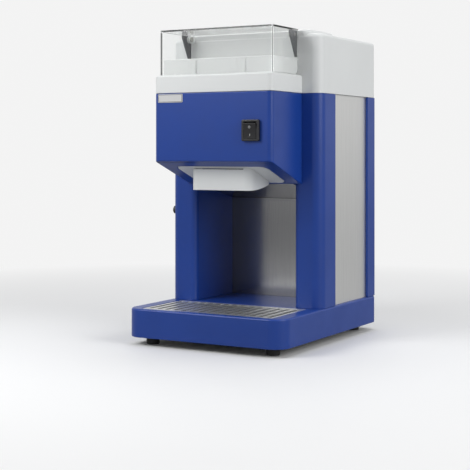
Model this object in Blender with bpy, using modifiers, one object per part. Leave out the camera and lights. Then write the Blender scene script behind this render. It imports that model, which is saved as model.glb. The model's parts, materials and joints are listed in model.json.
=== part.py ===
"""Electric ice shaver for ice cubes, modelled as an assembly of separate pieces.

Metres, +Z up, front at -Y. The origin lies on the table, under the middle of the machine.
"""
import math

import bmesh
import bpy
from mathutils import Matrix, Vector

# Clearances between pieces
SEAT = 0.0003              # between pieces that seat on each other
RUN = 0.001                # between a moving piece and what it passes
PIN_FIT = 0.0003           # between a pin and its hole, on the radius

# Sheet and wall thicknesses
SHEET = 0.0015
CASE_WALL = 0.003
PLASTIC_WALL = 0.003
FRAME_LIP = 0.004

# Feet
FOOT_HEIGHT = 0.0125
FOOT_RADIUS = 0.010
FOOT_SIDE_INSET = 0.031     # from the base's side
FOOT_END_INSET = 0.030      # from the base's front and rear
FOOT_CHAMFER = 0.0015

# Base
BASE_HALF_WIDTH = 0.135
BASE_FRONT = -0.171
BASE_REAR = 0.171
BASE_TOP = 0.056
BASE_FRONT_RADIUS = 0.025
BASE_REAR_RADIUS = 0.016
BASE_EDGE_ROUND = 0.0025
BASE_WALL = 0.002

# Column
COLUMN_INSET = 0.0012
COLUMN_REAR_INSET = 0.0005
COLUMN_FRONT = -0.043
COLUMN_TOP = 0.383
COLUMN_CORNER = 0.0166
PILLAR_WIDTH = 0.046
PILLAR_INNER_CORNER = 0.010
SIDE_STRIP_END = 0.0088
PILLAR_WALL = 0.002
PANEL_RECESS = 0.0043
SIDE_PANEL_TUCK = 0.006
REAR_FRAME_START = 0.134
REAR_FRAME_CORNER = 0.010
BACK_WINDOW_MARGIN = 0.020
BACK_COVER_OVERLAP = 0.006
LOUVRE_LOW_Z = 0.095
LOUVRE_HIGH_DROP = 0.098    # under the column's top
LOUVRE_ROWS = 6
LOUVRE_PITCH = 0.012
LOUVRE_HEIGHT = 0.004
LOUVRE_INNER_X = 0.012
LOUVRE_OUTER_X = 0.078

# Cord gland in the back cover
GLAND_SIDE_INSET = 0.0438   # from the column's side
GLAND_Z = 0.0865
GLAND_RADIUS = 0.006
GLAND_LIP = 0.003
GLAND_FLANGE = 0.0022
GLAND_BORE = 0.0035

# Bowl bay
BAY_REAR = 0.0748
BAY_SLOPE_HEIGHT = 0.0265   # of the lining over its crease
BAY_MOUTH_DROP = 0.0005     # under the head's rear edge
LINER_SHEET = 0.0012

# Head
HEAD_HALF_WIDTH = 0.102
HEAD_FRONT = -0.1416
HEAD_CORNER = 0.008
HEAD_HEIGHT = 0.103         # of its front face
HEAD_FALL = 0.0355          # of its underside, from front to rear
CHUTE_OPEN_HALF = 0.079
CHUTE_OPEN_FRONT = -0.118
CHUTE_OPEN_REAR = -0.048
CHUTE_OPEN_CORNER = 0.012

# Outlet spout
SPOUT_HALF_WIDTH = 0.0525
SPOUT_FRONT = -0.116
SPOUT_DROP = 0.044          # under the head's front edge
SPOUT_CORNER = 0.012
SPOUT_WALL = 0.0025
SPOUT_REAR = -0.054
SPOUT_REAR_CORNER = 0.004
SPOUT_EDGE_RISE = 0.0087
SPOUT_EDGE_POWER = 1.6
SPOUT_EDGE_STEPS = 6
CHUTE_PANEL_LIP = 0.005

# Hopper
BAND_HEIGHT = 0.0277        # over the column's top
COLLAR_HEIGHT = 0.0248      # over the band's top
COLLAR_SIDE_INSET = 0.007
COLLAR_FRONT_INSET = 0.0158
COLLAR_REAR_INSET = 0.0027
COLLAR_CORNER = 0.006
COLLAR_EDGE_ROUND = 0.0012
HOPPER_EDGE_ROUND = 0.0015
COLLAR_PAD_X = 0.043
COLLAR_PAD_WIDTH = 0.016
COLLAR_PAD_DEPTH = 0.0018
THROAT_RADIUS = 0.072
THROAT_ARC_STEPS = 16
THROAT_REAR = -0.050
DRUM_COVER_LIP = 0.002

# Clear guard, which is also the lid
GUARD_HALF_WIDTH = 0.098
GUARD_FRONT = -0.1306
GUARD_REAR = -0.0475
GUARD_LIFT = 0.0008         # over the hopper's band
GUARD_HEIGHT = 0.069
GUARD_WALL = 0.0025
GUARD_PLATE = 0.0025
GUARD_CORNER = 0.004
GUARD_HEEL_ROUND = 0.009
HINGE_Y = -0.056
HINGE_DROP = 0.0085         # from the guard's top to the pins
HINGE_PIN_RADIUS = 0.0025
LUG_X = 0.0879
LUG_THICKNESS = 0.004
LUG_RADIUS = 0.0055
LUG_SIDE_GAP = 0.0007
LID_NOTCH_EXTRA = 0.0017
ARM_THICKNESS = 0.003
ARM_FRONT = 0.016
ARM_EDGE = 0.0035
ARM_BACK = 0.0006
ARM_TOE = 0.004
ARM_LIFT = 0.0025           # over the collar
PIN_HEAD = 0.002
PIN_HEAD_LIP = 0.0015

# Rear top cover
COVER_REAR = 0.1675
COVER_HEIGHT = 0.091        # over the column's top
HUMP_HALF_WIDTH = 0.116
HUMP_RISE = 0.006           # over the cover's top
HUMP_REAR = 0.046
HUMP_SET_BACK = 0.0005
COVER_EDGE_ROUND = 0.006
COVER_REAR_CORNER = 0.010
HUMP_CORNER = 0.012
HUMP_EDGE_ROUND = 0.003
LID_SWITCH_X = 0.060
LID_SWITCH_SIZE = (0.020, 0.012, 0.018)

# Switch on the head's front
SWITCH_X = 0.0685
SWITCH_DROP = 0.0575        # under the column's top
SWITCH_WIDTH = 0.029
SWITCH_HEIGHT = 0.0315
SWITCH_PROUD = 0.005
ROCKER_WIDTH = 0.021
ROCKER_HEIGHT = 0.023
ROCKER_TILT = math.radians(8)
ROCKER_PLAY = 0.0012
ROCKER_OUT = 0.0075
ROCKER_DISH = 0.0012
ROCKER_BACK = 0.004
SWITCH_LIP = 0.0022
SWITCH_EDGE_ROUND = 0.0012
SWITCH_DEPTH = 0.022
SWITCH_PIVOT_DEPTH = 0.001

# Drum, impeller and shaft
DRUM_Y = -0.044
DRUM_RADIUS = 0.082
DRUM_WALL = 0.004
DRUM_FLOOR_LIFT = 0.0003    # over the deck plate
DRUM_FLOOR = 0.006
DRUM_TOP_DROP = 0.009       # under the column's top
DRUM_COVER_THICKNESS = 0.003
DRUM_RIBS = 6
DRUM_RIB_HEIGHT = 0.003
DRUM_RIB_WIDTH = 0.004
SHAFT_EYE_RADIUS = 0.012
DRIVE_SHAFT_RADIUS = 0.007
DRIVE_SHAFT_DROP = 0.032    # under the deck plate
DRIVE_SHAFT_REACH = 0.025   # over the deck plate
HUB_RADIUS = 0.016
PADDLE_REACH = 0.072
PADDLE_THICKNESS = 0.006
PADDLE_TOP_DROP = 0.022     # under the drum's top
PADDLE_COUNT = 3
PADDLE_SWEEP = math.radians(35)
PADDLE_TAPER = 0.35
HUB_NOSE = 0.010
HUB_NOSE_CURVE = ((0, 1), (0.5, 0.8), (0.85, 0.4))   # shares of radius and of height
PADDLE_SINK = 0.0032        # of a paddle's root into the hub
PADDLE_STEPS = 8

# Deck plate
DECK_LIFT = 0.010           # over the head's front edge
DECK_THICKNESS = 0.003
DECK_REAR = 0.160
DECK_HALF_WIDTH = 0.126
DECK_FRONT = -0.120
DECK_CORNER = 0.008

# Belt drive
PULLEY_DROP = 0.0215        # under the deck plate
PULLEY_HEIGHT = 0.013
LARGE_PULLEY_RADIUS = 0.026
MOTOR_PULLEY_RADIUS = 0.0136
BELT_WIDTH = 0.008
BELT_THICKNESS = 0.003
BEARING_HOUSING_RADIUS = 0.024
BEARING_RADIUS = 0.013
BEARING_WIDTH = 0.007
BEARING_HOUSING_WALL = 0.0035

# Motor
MOTOR_Y = 0.098
MOTOR_RADIUS = 0.056
MOTOR_TOP_DROP = 0.054      # from the cover's top
MOTOR_BELL_HEIGHT = 0.012
MOTOR_SHAFT_RADIUS = 0.005
MOTOR_SHAFT_DROP = 0.030    # under the deck plate
MOTOR_SHAFT_REACH = 0.016   # over the motor's top
MOTOR_CAN_INSET = 0.001
MOTOR_ROTOR_RADIUS = 0.036
FAN_RADIUS = 0.046
FAN_HEIGHT = 0.010
FAN_BLADES = 8
FAN_BLADE = 0.002
FAN_HUB_RADIUS = 0.012
FAN_BLADE_ROOT = 0.0096     # inside the fan's hub

# Blade
PASSAGE_HALF_WIDTH = 0.046
PASSAGE_FRONT = -0.113
PASSAGE_REAR = -0.078
BLADE_TRAVEL = 0.002
BLADE_HALF = 0.044
BLADE_LEAN = math.radians(28)
BLADE_EDGE_Y = -0.099
BLADE_PROUD = 0.0005
BLADE_THICKNESS = 0.0015
BLADE_LENGTH = 0.026
SLOT_FRONT = -0.106
SLOT_REAR = -0.083
CARRIER_HALF = 0.060
CARRIER_FRONT = -0.090
CARRIER_REAR = -0.073
CARRIER_DROP = 0.010        # under the deck plate
CLAMP_START = 0.0195
CLAMP_WIDTH = 0.006
CLAMP_HEIGHT = 0.0025
ADJUST_X = 0.053
ADJUST_SCREW_RADIUS = 0.004
ADJUST_KNOB_RADIUS = 0.007
ADJUST_SHANK = 0.005
ADJUST_KNOB = 0.004

# Drip tray and grate
TRAY_DEPTH = 0.022
TRAY_WALL = 0.0015
GRATE_HALF_WIDTH = 0.112
GRATE_FRONT = -0.161
GRATE_REAR = -0.047
GRATE_THICKNESS = 0.0015
GRATE_PITCH = 0.0146
GRATE_SLOT_WIDTH = 0.0066
GRATE_SLOT_MARGIN = 0.002
GRATE_CORNER = 0.002
GRATE_PLAY = 0.0007
LEDGE_WIDTH = 0.005
WELL_FRAME_REACH = 0.006    # under the well's flange
WELL_DEPTH = 0.004

# Thumb screw on the left pillar
KNOB_RADIUS = 0.0065
KNOB_EDGE = 0.00108
KNOB_PROUD = 0.0062
KNOB_Y = -0.0225
KNOB_Z = 0.1995
KNOB_SHANK = 0.008
KNOB_SHANK_RADIUS = 0.0025

# Electric pieces on the base, behind the bay
CAPACITOR_PLACE = (-0.055, 0.125)
CAPACITOR_RADIUS = 0.0175
CAPACITOR_EDGE = 0.00219
CAPACITOR_LENGTH = 0.070
CLAMP_CUP = 0.024
TERMINAL_PLACE = (0.050, 0.130)
TERMINAL_SIZE = (0.046, 0.020, 0.016)
TERMINAL_WAYS = 5

# Places worked out from the sizes above
COLUMN_HALF_WIDTH = BASE_HALF_WIDTH - COLUMN_INSET
COLUMN_REAR = BASE_REAR - COLUMN_REAR_INSET
GLAND_X = GLAND_SIDE_INSET - COLUMN_HALF_WIDTH
BAND_TOP = COLUMN_TOP + BAND_HEIGHT
COLLAR_TOP = BAND_TOP + COLLAR_HEIGHT
HEAD_FRONT_BOTTOM = COLUMN_TOP - HEAD_HEIGHT
HEAD_REAR_BOTTOM = HEAD_FRONT_BOTTOM - HEAD_FALL
BAY_MOUTH_Z = HEAD_REAR_BOTTOM - BAY_MOUTH_DROP
BAY_CREASE_Z = BAY_MOUTH_Z - BAY_SLOPE_HEIGHT
SPOUT_BOTTOM = HEAD_FRONT_BOTTOM - SPOUT_DROP
SWITCH_Z = COLUMN_TOP - SWITCH_DROP
LOUVRE_HIGH_Z = COLUMN_TOP - LOUVRE_HIGH_DROP
DECK_BOTTOM = HEAD_FRONT_BOTTOM + DECK_LIFT
DECK_TOP = DECK_BOTTOM + DECK_THICKNESS
DRUM_FLOOR_Z = DECK_TOP + DRUM_FLOOR_LIFT
DRUM_TOP = COLUMN_TOP - DRUM_TOP_DROP
PADDLE_TOP = DRUM_TOP - PADDLE_TOP_DROP
DRIVE_SHAFT_BOTTOM = DECK_BOTTOM - DRIVE_SHAFT_DROP
DRIVE_SHAFT_TOP = DECK_TOP + DRIVE_SHAFT_REACH
PULLEY_Z = DECK_BOTTOM - PULLEY_DROP
MOTOR_SHAFT_BOTTOM = DECK_BOTTOM - MOTOR_SHAFT_DROP
CARRIER_BOTTOM = DECK_BOTTOM - CARRIER_DROP
GUARD_BOTTOM = BAND_TOP + GUARD_LIFT
GUARD_TOP = GUARD_BOTTOM + GUARD_HEIGHT
HINGE_Z = GUARD_TOP - HINGE_DROP
ARM_BOTTOM = COLLAR_TOP + ARM_LIFT
COVER_TOP = COLUMN_TOP + COVER_HEIGHT
HUMP_TOP = COVER_TOP + HUMP_RISE
MOTOR_TOP = COVER_TOP - MOTOR_TOP_DROP
MOTOR_SHAFT_TOP = MOTOR_TOP + MOTOR_SHAFT_REACH
PILLAR_INNER = COLUMN_HALF_WIDTH - PILLAR_WIDTH
PADDLE_ROOT = HUB_RADIUS - PADDLE_SINK
COLLAR_HALF_WIDTH = HEAD_HALF_WIDTH - COLLAR_SIDE_INSET
COLLAR_FRONT = HEAD_FRONT + COLLAR_FRONT_INSET
HEAD_SLOPE = (HEAD_FRONT_BOTTOM - HEAD_REAR_BOTTOM) / (COLUMN_FRONT - HEAD_FRONT)

MATERIALS = {
    # name: (colour, roughness, metallic, alpha)
    "blue_paint": ((0.018, 0.075, 0.36, 1), 0.35, 0.0, 1.0),
    "brushed_steel": ((0.55, 0.55, 0.54, 1), 0.32, 1.0, 1.0),
    "polished_steel": ((0.62, 0.62, 0.62, 1), 0.12, 1.0, 1.0),
    "white_plastic": ((0.76, 0.77, 0.76, 1), 0.40, 0.0, 1.0),
    "clear_plastic": ((0.85, 0.88, 0.88, 1), 0.08, 0.0, 0.3),
    "dark_plastic": ((0.045, 0.045, 0.05, 1), 0.45, 0.0, 1.0),
    "black_plastic": ((0.012, 0.012, 0.013, 1), 0.40, 0.0, 1.0),
    "rubber": ((0.02, 0.02, 0.02, 1), 0.80, 0.0, 1.0),
    "zinc_steel": ((0.50, 0.50, 0.48, 1), 0.45, 1.0, 1.0),
    "cast_metal": ((0.42, 0.43, 0.44, 1), 0.55, 1.0, 1.0),
    "dark_metal": ((0.10, 0.10, 0.11, 1), 0.50, 0.6, 1.0),
}

for old in list(bpy.data.objects):
    bpy.data.objects.remove(old, do_unlink=True)

PARTS = bpy.data.collections.new("ice_shaver")
CUTTERS = bpy.data.collections.new("ice_shaver_cutters")
bpy.context.scene.collection.children.link(PARTS)
bpy.context.scene.collection.children.link(CUTTERS)


def material(name):
    """The Principled material of that name, made once."""
    if name in bpy.data.materials:
        return bpy.data.materials[name]
    colour, roughness, metallic, alpha = MATERIALS[name]
    made = bpy.data.materials.new(name)
    made.use_nodes = True
    shader = made.node_tree.nodes["Principled BSDF"]
    shader.inputs["Base Color"].default_value = colour
    shader.inputs["Roughness"].default_value = roughness
    shader.inputs["Metallic"].default_value = metallic
    shader.inputs["Alpha"].default_value = alpha
    return made


def from_bmesh(name, shape):
    """A mesh object made from a bmesh, with its normals turned outward."""
    bmesh.ops.recalc_face_normals(shape, faces=shape.faces)
    mesh = bpy.data.meshes.new(name)
    shape.to_mesh(mesh)
    shape.free()
    made = bpy.data.objects.new(name, mesh)
    CUTTERS.objects.link(made)
    return made


def box(name, x, y, z):
    """A block between the two values given for each axis."""
    low = Vector((min(x), min(y), min(z)))
    high = Vector((max(x), max(y), max(z)))
    place = Matrix.Translation((low + high) / 2) @ Matrix.Diagonal((*(high - low), 1))
    shape = bmesh.new()
    bmesh.ops.create_cube(shape, size=1, matrix=place)
    return from_bmesh(name, shape)


def turn_to(axis):
    """The rotation that brings local Z to the named axis.

    On X an outline's (x, y) become (Y, Z), on Y they become (X, Z) and Z is left as it is.
    """
    if axis == "X":
        return Matrix(((0, 0, 1, 0), (1, 0, 0, 0), (0, 1, 0, 0), (0, 0, 0, 1)))
    if axis == "Y":
        return Matrix(((1, 0, 0, 0), (0, 0, -1, 0), (0, 1, 0, 0), (0, 0, 0, 1)))
    return Matrix.Identity(4)


def rod(name, radius, centre, start, end, axis="Z", sides=32):
    """A cylinder along an axis. Its centre is given by the two other coordinates."""
    middle = (start + end) / 2
    place = {
        "X": (middle, centre[0], centre[1]),
        "Y": (centre[0], middle, centre[1]),
        "Z": (centre[0], centre[1], middle),
    }[axis]
    shape = bmesh.new()
    bmesh.ops.create_cone(
        shape, cap_ends=True, segments=sides, radius1=radius, radius2=radius,
        depth=abs(end - start), matrix=Matrix.Translation(place) @ turn_to(axis),
    )
    return from_bmesh(name, shape)


def rounded(corners, steps=4):
    """The points of a closed outline whose corners are given as (x, y, radius)."""
    points = []
    for i, (x, y, radius) in enumerate(corners):
        here = Vector((x, y))
        if radius <= 0:
            points.append(here)
            continue
        before = (Vector(corners[i - 1][:2]) - here).normalized()
        after = (Vector(corners[(i + 1) % len(corners)][:2]) - here).normalized()
        half = before.angle(after) / 2
        centre = here + (before + after).normalized() * radius / math.sin(half)
        start = here + before * radius / math.tan(half) - centre
        end = here + after * radius / math.tan(half) - centre
        sweep = math.atan2(start.x * end.y - start.y * end.x, start.dot(end))
        for k in range(steps + 1):
            points.append(centre + Matrix.Rotation(sweep * k / steps, 2) @ start)
    return points


def plate(x0, x1, y0, y1, front=0.0, rear=0.0, inset=0.0, steps=4):
    """A rectangle with its front and rear corners rounded, drawn in by an inset."""
    f = max(front - inset, 0.0)
    r = max(rear - inset, 0.0)
    x0, x1, y0, y1 = x0 + inset, x1 - inset, y0 + inset, y1 - inset
    return rounded([(x0, y0, f), (x1, y0, f), (x1, y1, r), (x0, y1, r)], steps)


def circle(x, y, radius, sides=32):
    """The points of a circle."""
    turns = [2 * math.pi * k / sides for k in range(sides)]
    return [Vector((x + radius * math.cos(t), y + radius * math.sin(t))) for t in turns]


def slot(x0, x1, y0, y1, steps=4):
    """A slot with round ends along its longer side."""
    along_x = x1 - x0 > y1 - y0
    radius = min(x1 - x0, y1 - y0) / 2
    centres = ((x1 - radius, y1 - radius), (x0 + radius, y0 + radius))
    points = []
    for end, centre in enumerate(centres):
        start = math.pi * end - (math.pi / 2 if along_x else 0)
        for k in range(steps + 1):
            turn = start + math.pi * k / steps
            points.append(Vector(centre) + radius * Vector((math.cos(turn), math.sin(turn))))
    return points


def prism(name, outline, start, end, axis="Z", holes=()):
    """A flat outline, with holes, given its thickness along an axis."""
    curve = bpy.data.curves.new(name, "CURVE")
    curve.dimensions = "2D"
    curve.fill_mode = "BOTH"
    curve.extrude = abs(end - start) / 2
    for loop in (outline, *holes):
        spline = curve.splines.new("POLY")
        spline.points.add(len(loop) - 1)
        for point, place in zip(spline.points, loop):
            point.co = (place[0], place[1], 0, 1)
        spline.use_cyclic_u = True
    middle = (start + end) / 2
    shift = {"X": (middle, 0, 0), "Y": (0, middle, 0), "Z": (0, 0, middle)}[axis]
    drawn = bpy.data.objects.new(name, curve)
    CUTTERS.objects.link(drawn)
    drawn.matrix_world = Matrix.Translation(shift) @ turn_to(axis)
    bpy.context.view_layer.update()
    seen = drawn.evaluated_get(bpy.context.evaluated_depsgraph_get())
    mesh = bpy.data.meshes.new_from_object(seen)
    mesh.transform(drawn.matrix_world)
    bpy.data.objects.remove(drawn)
    shape = bmesh.new()
    shape.from_mesh(mesh)
    bmesh.ops.remove_doubles(shape, verts=shape.verts, dist=1e-6)
    return from_bmesh(name, shape)


def turned(name, profile, place, axis="Z", sides=32):
    """A closed profile of (radius, height) points, down the outer side, turned about an axis."""
    shape = bmesh.new()
    points = [shape.verts.new((radius, 0, height)) for radius, height in profile]
    for first, second in zip(points, points[1:]):
        shape.edges.new((first, second))
    if profile[0][0] > 0 or profile[-1][0] > 0:
        shape.edges.new((points[-1], points[0]))
    mesh = bpy.data.meshes.new(name)
    shape.to_mesh(mesh)
    shape.free()
    made = bpy.data.objects.new(name, mesh)
    CUTTERS.objects.link(made)
    made.matrix_world = Matrix.Translation(place) @ turn_to(axis)
    screw = made.modifiers.new("turn", "SCREW")
    screw.steps = screw.render_steps = sides
    screw.use_merge_vertices = True
    screw.merge_threshold = 0.00001
    screw.use_smooth_shade = False
    return made


def apply_all(made):
    """Replaces an object's mesh by its evaluated one, in world coordinates."""
    bpy.context.view_layer.update()
    seen = made.evaluated_get(bpy.context.evaluated_depsgraph_get())
    mesh = bpy.data.meshes.new_from_object(seen)
    mesh.transform(made.matrix_world)
    made.modifiers.clear()
    made.data = mesh
    made.matrix_world = Matrix.Identity(4)
    return made


def boolean(made, operation, others):
    """Adds one Boolean modifier for each of the other objects, which become cutters."""
    for other in others:
        step = made.modifiers.new(operation.lower(), "BOOLEAN")
        step.operation = operation
        step.solver = "EXACT"
        step.object = other
        other.hide_render = True
        other.display_type = "WIRE"
    return made


def cut(made, *others):
    return boolean(made, "DIFFERENCE", others)


def join(made, *others):
    return boolean(made, "UNION", others)


def keep_common(made, *others):
    return boolean(made, "INTERSECT", others)


def bevel(made, width, segments=2, angle=50):
    """Rounds the sharp edges of an object."""
    step = made.modifiers.new("round", "BEVEL")
    step.width = width
    step.segments = segments
    step.limit_method = "ANGLE"
    step.angle_limit = math.radians(angle)
    return made


def part(made, slot_name, origin=None):
    """Makes an object a sub-part: its name, material, shading and origin."""
    name = made.name
    CUTTERS.objects.unlink(made)
    PARTS.objects.link(made)
    made.data.materials.clear()
    made.data.materials.append(material(slot_name).copy())
    made.data.materials[0].name = name + "_" + slot_name
    made.data.shade_smooth()
    made.data.set_sharp_from_angle(angle=math.radians(35))
    if origin is not None:
        apply_all(made)
        made.data.transform(Matrix.Translation(-Vector(origin)))
        made.location = origin
    return made


def mirrored(made, name, slot_name, origin=None):
    """The piece of the other side, reflected in the middle plane."""
    mesh = apply_all(made).data.copy()
    mesh.transform(Matrix.Diagonal((-1, 1, 1, 1)))
    mesh.flip_normals()
    twin = bpy.data.objects.new(name, mesh)
    CUTTERS.objects.link(twin)
    return part(twin, slot_name, origin)


def head_underside(y):
    """Height of the sloped underside of the head."""
    return HEAD_REAR_BOTTOM + HEAD_SLOPE * (COLUMN_FRONT - y)


def sloped_slab(name, half_width, y0, y1, below, above):
    """A slab along the head's underside, from one height to another over it."""
    outline = [
        Vector((y0, head_underside(y0) + below)), Vector((y1, head_underside(y1) + below)),
        Vector((y1, head_underside(y1) + above)), Vector((y0, head_underside(y0) + above)),
    ]
    return prism(name, outline, -half_width, half_width, "X")


def base_outline(inset=0.0):
    return plate(-BASE_HALF_WIDTH, BASE_HALF_WIDTH, BASE_FRONT, BASE_REAR,
                 BASE_FRONT_RADIUS, BASE_REAR_RADIUS, inset, steps=6)


def build_feet():
    """Four turned rubber feet under the base plate."""
    top = FOOT_HEIGHT
    profile = [(0, top), (FOOT_RADIUS, top), (FOOT_RADIUS, FOOT_CHAMFER),
               (FOOT_RADIUS - FOOT_CHAMFER, 0), (0, 0)]
    foot_x = BASE_HALF_WIDTH - FOOT_SIDE_INSET
    for end, y in (("front", BASE_FRONT + FOOT_END_INSET), ("rear", BASE_REAR - FOOT_END_INSET)):
        for side, x in (("left", -foot_x), ("right", foot_x)):
            foot = turned(f"foot_{end}_{side}", profile, (x, y, 0), sides=24)
            part(foot, "rubber")


def build_base():
    """The base: a pan turned upside down, with a flanged well over the frame that holds the tray."""
    bottom = FOOT_HEIGHT
    base = prism("base_shell", base_outline(), bottom, BASE_TOP)
    bevel(base, BASE_EDGE_ROUND)
    inside = prism("base_inside", base_outline(BASE_WALL), bottom - CASE_WALL,
                   BASE_TOP - BASE_WALL)
    cut(base, inside)
    well_bottom = BASE_TOP - WELL_DEPTH
    rim = plate(-GRATE_HALF_WIDTH, GRATE_HALF_WIDTH, GRATE_FRONT, GRATE_REAR,
                GRATE_CORNER, GRATE_CORNER)
    well = plate(-GRATE_HALF_WIDTH, GRATE_HALF_WIDTH, GRATE_FRONT, GRATE_REAR,
                 GRATE_CORNER + GRATE_PLAY, GRATE_CORNER + GRATE_PLAY, -GRATE_PLAY)
    block = plate(-GRATE_HALF_WIDTH, GRATE_HALF_WIDTH, GRATE_FRONT, GRATE_REAR,
                  GRATE_CORNER + BASE_WALL, GRATE_CORNER + BASE_WALL, -GRATE_PLAY - BASE_WALL)
    ledge = plate(-GRATE_HALF_WIDTH, GRATE_HALF_WIDTH, GRATE_FRONT, GRATE_REAR,
                  GRATE_CORNER, GRATE_CORNER, LEDGE_WIDTH)
    join(base, prism("well_flange", block, well_bottom + SEAT, BASE_TOP - BASE_WALL / 2))
    cut(base, prism("well_cut", well, well_bottom, BASE_TOP + CASE_WALL))
    part(base, "blue_paint")

    under = plate(-GRATE_HALF_WIDTH, GRATE_HALF_WIDTH, GRATE_FRONT, GRATE_REAR, GRATE_CORNER,
                  GRATE_CORNER, -GRATE_PLAY - WELL_FRAME_REACH)
    frame = prism("well_frame", under, well_bottom - BASE_WALL, well_bottom, holes=[ledge])
    part(frame, "zinc_steel")

    floor = prism("base_plate", base_outline(BASE_WALL + SEAT), bottom + SEAT,
                  bottom + SEAT + SHEET)
    part(floor, "zinc_steel")
    build_tray(rim, ledge, well_bottom)


def build_tray(rim, ledge, well_bottom):
    """The drip tray hangs in the base by its rim, and the slotted grate lies on it."""
    pan_x = GRATE_HALF_WIDTH - LEDGE_WIDTH - GRATE_PLAY
    pan_front = GRATE_FRONT + LEDGE_WIDTH + GRATE_PLAY
    pan_rear = GRATE_REAR - LEDGE_WIDTH - GRATE_PLAY
    rim_z = well_bottom + SEAT
    rim_top = rim_z + TRAY_WALL
    tray = prism("drip_tray", rim, rim_z, rim_top)
    pan = plate(-pan_x, pan_x, pan_front, pan_rear, GRATE_CORNER, GRATE_CORNER)
    hollow = plate(-pan_x, pan_x, pan_front, pan_rear, GRATE_CORNER, GRATE_CORNER, TRAY_WALL)
    join(tray, prism("tray_pan", pan, rim_z - TRAY_DEPTH, rim_top - TRAY_WALL / 2))
    cut(tray, prism("tray_hollow", hollow, rim_z - TRAY_DEPTH + TRAY_WALL, rim_top + TRAY_WALL))
    part(tray, "brushed_steel")

    grate_z = rim_top + SEAT
    count = 2 * int((GRATE_HALF_WIDTH - LEDGE_WIDTH) / GRATE_PITCH) + 1
    first = -GRATE_PITCH * (count - 1) / 2
    y0, y1 = pan_front + GRATE_SLOT_MARGIN, pan_rear - GRATE_SLOT_MARGIN
    slots = []
    for k in range(count):
        x = first + k * GRATE_PITCH
        slots.append(slot(x - GRATE_SLOT_WIDTH / 2, x + GRATE_SLOT_WIDTH / 2, y0, y1))
    grate = prism("drip_grate", rim, grate_z, grate_z + GRATE_THICKNESS, holes=slots)
    part(grate, "brushed_steel")


def build_pillars():
    """Left and right column casings: front face, side strip and the wall along the bay."""
    x_out, x_in = COLUMN_HALF_WIDTH, PILLAR_INNER
    y = COLUMN_FRONT
    strip = SIDE_STRIP_END
    rear = BAY_REAR + LINER_SHEET
    wall = PILLAR_WALL
    inner_round = PILLAR_INNER_CORNER
    outline = rounded([
        (x_in, rear, 0), (x_in, y, inner_round), (x_out, y, COLUMN_CORNER), (x_out, strip, 0),
        (x_out - FRAME_LIP, strip, 0), (x_out - FRAME_LIP, strip - wall, 0),
        (x_out - wall, strip - wall, 0), (x_out - wall, y + wall, COLUMN_CORNER - wall),
        (x_in + wall, y + wall, inner_round - wall), (x_in + wall, rear, 0),
    ], steps=5)
    pillar = prism("pillar_right", outline, BASE_TOP + SEAT, COLUMN_TOP)
    above_deck = box("deck_room", (x_in - wall, x_in + wall + inner_round),
                     (y + wall + SEAT, rear + wall), (DECK_BOTTOM - SEAT, COLUMN_TOP + wall))
    cut(pillar, above_deck)
    apply_all(pillar)
    left = mirrored(pillar, "pillar_left", "blue_paint")
    hole = rod("thumb_screw_hole", KNOB_SHANK_RADIUS + PIN_FIT, (KNOB_Y, KNOB_Z),
               -x_out - wall, -x_out + 2 * wall, "X", sides=16)
    cut(left, hole)
    part(pillar, "blue_paint")

    skin = x_out - PANEL_RECESS
    tuck = SIDE_PANEL_TUCK
    panel = box("side_panel_right", (skin - SHEET, skin),
                (strip - tuck, REAR_FRAME_START + tuck), (BASE_TOP + SEAT, COLUMN_TOP))
    mirrored(panel, "side_panel_left", "brushed_steel")
    part(panel, "brushed_steel")


def build_rear_frame():
    """The painted frame round the back, and the louvred back cover behind its window."""
    x, rear, start = COLUMN_HALF_WIDTH, COLUMN_REAR, REAR_FRAME_START
    wall, lip = PILLAR_WALL, FRAME_LIP
    corner = REAR_FRAME_CORNER
    right = [(x - lip, start + wall, 0), (x - lip, start, 0), (x, start, 0), (x, rear, corner)]
    inner = [(x - wall, rear - wall, corner - wall), (x - wall, start + wall, 0)]
    outline = right + [(-px, py, r) for px, py, r in reversed(right)]
    outline += [(-px, py, r) for px, py, r in reversed(inner)] + inner
    frame = prism("rear_frame", rounded(outline, steps=4), BASE_TOP + SEAT, COLUMN_TOP)
    window_x = x - BACK_WINDOW_MARGIN
    z0 = BASE_TOP + BACK_WINDOW_MARGIN
    z1 = COLUMN_TOP - BACK_WINDOW_MARGIN
    window = plate(-window_x, window_x, z0, z1, corner, corner)
    cut(frame, prism("back_window", window, rear - 2 * wall, rear + wall, "Y"))
    part(frame, "blue_paint")

    louvres = []
    for bottom in (LOUVRE_LOW_Z, LOUVRE_HIGH_Z):
        for row in range(LOUVRE_ROWS):
            z = bottom + row * LOUVRE_PITCH
            for side in (-1, 1):
                ends = sorted((side * LOUVRE_INNER_X, side * LOUVRE_OUTER_X))
                louvres.append(slot(*ends, z, z + LOUVRE_HEIGHT, steps=2))
    louvres.append(circle(GLAND_X, GLAND_Z, GLAND_RADIUS + PIN_FIT, 16))
    overlap = BACK_COVER_OVERLAP
    sheet = plate(-window_x, window_x, z0, z1, corner, corner, -overlap)
    outside = rear - wall - SEAT
    cover = prism("back_cover", sheet, outside - SHEET, outside, "Y", holes=louvres)
    part(cover, "zinc_steel")

    flange, tube, bore = GLAND_RADIUS + GLAND_LIP, GLAND_RADIUS, GLAND_BORE
    near, far = outside + SEAT, outside - SHEET - SEAT
    inner_end, outer_end = far - 2 * GLAND_FLANGE, near + GLAND_FLANGE
    profile = [(flange, inner_end), (flange, far), (tube, far), (tube, near), (flange, near),
               (tube, outer_end), (bore, outer_end), (bore, inner_end)]
    gland = turned("cord_gland", [(r, -y) for r, y in profile], (GLAND_X, 0, GLAND_Z), "Y", 20)
    part(gland, "black_plastic")


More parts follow.
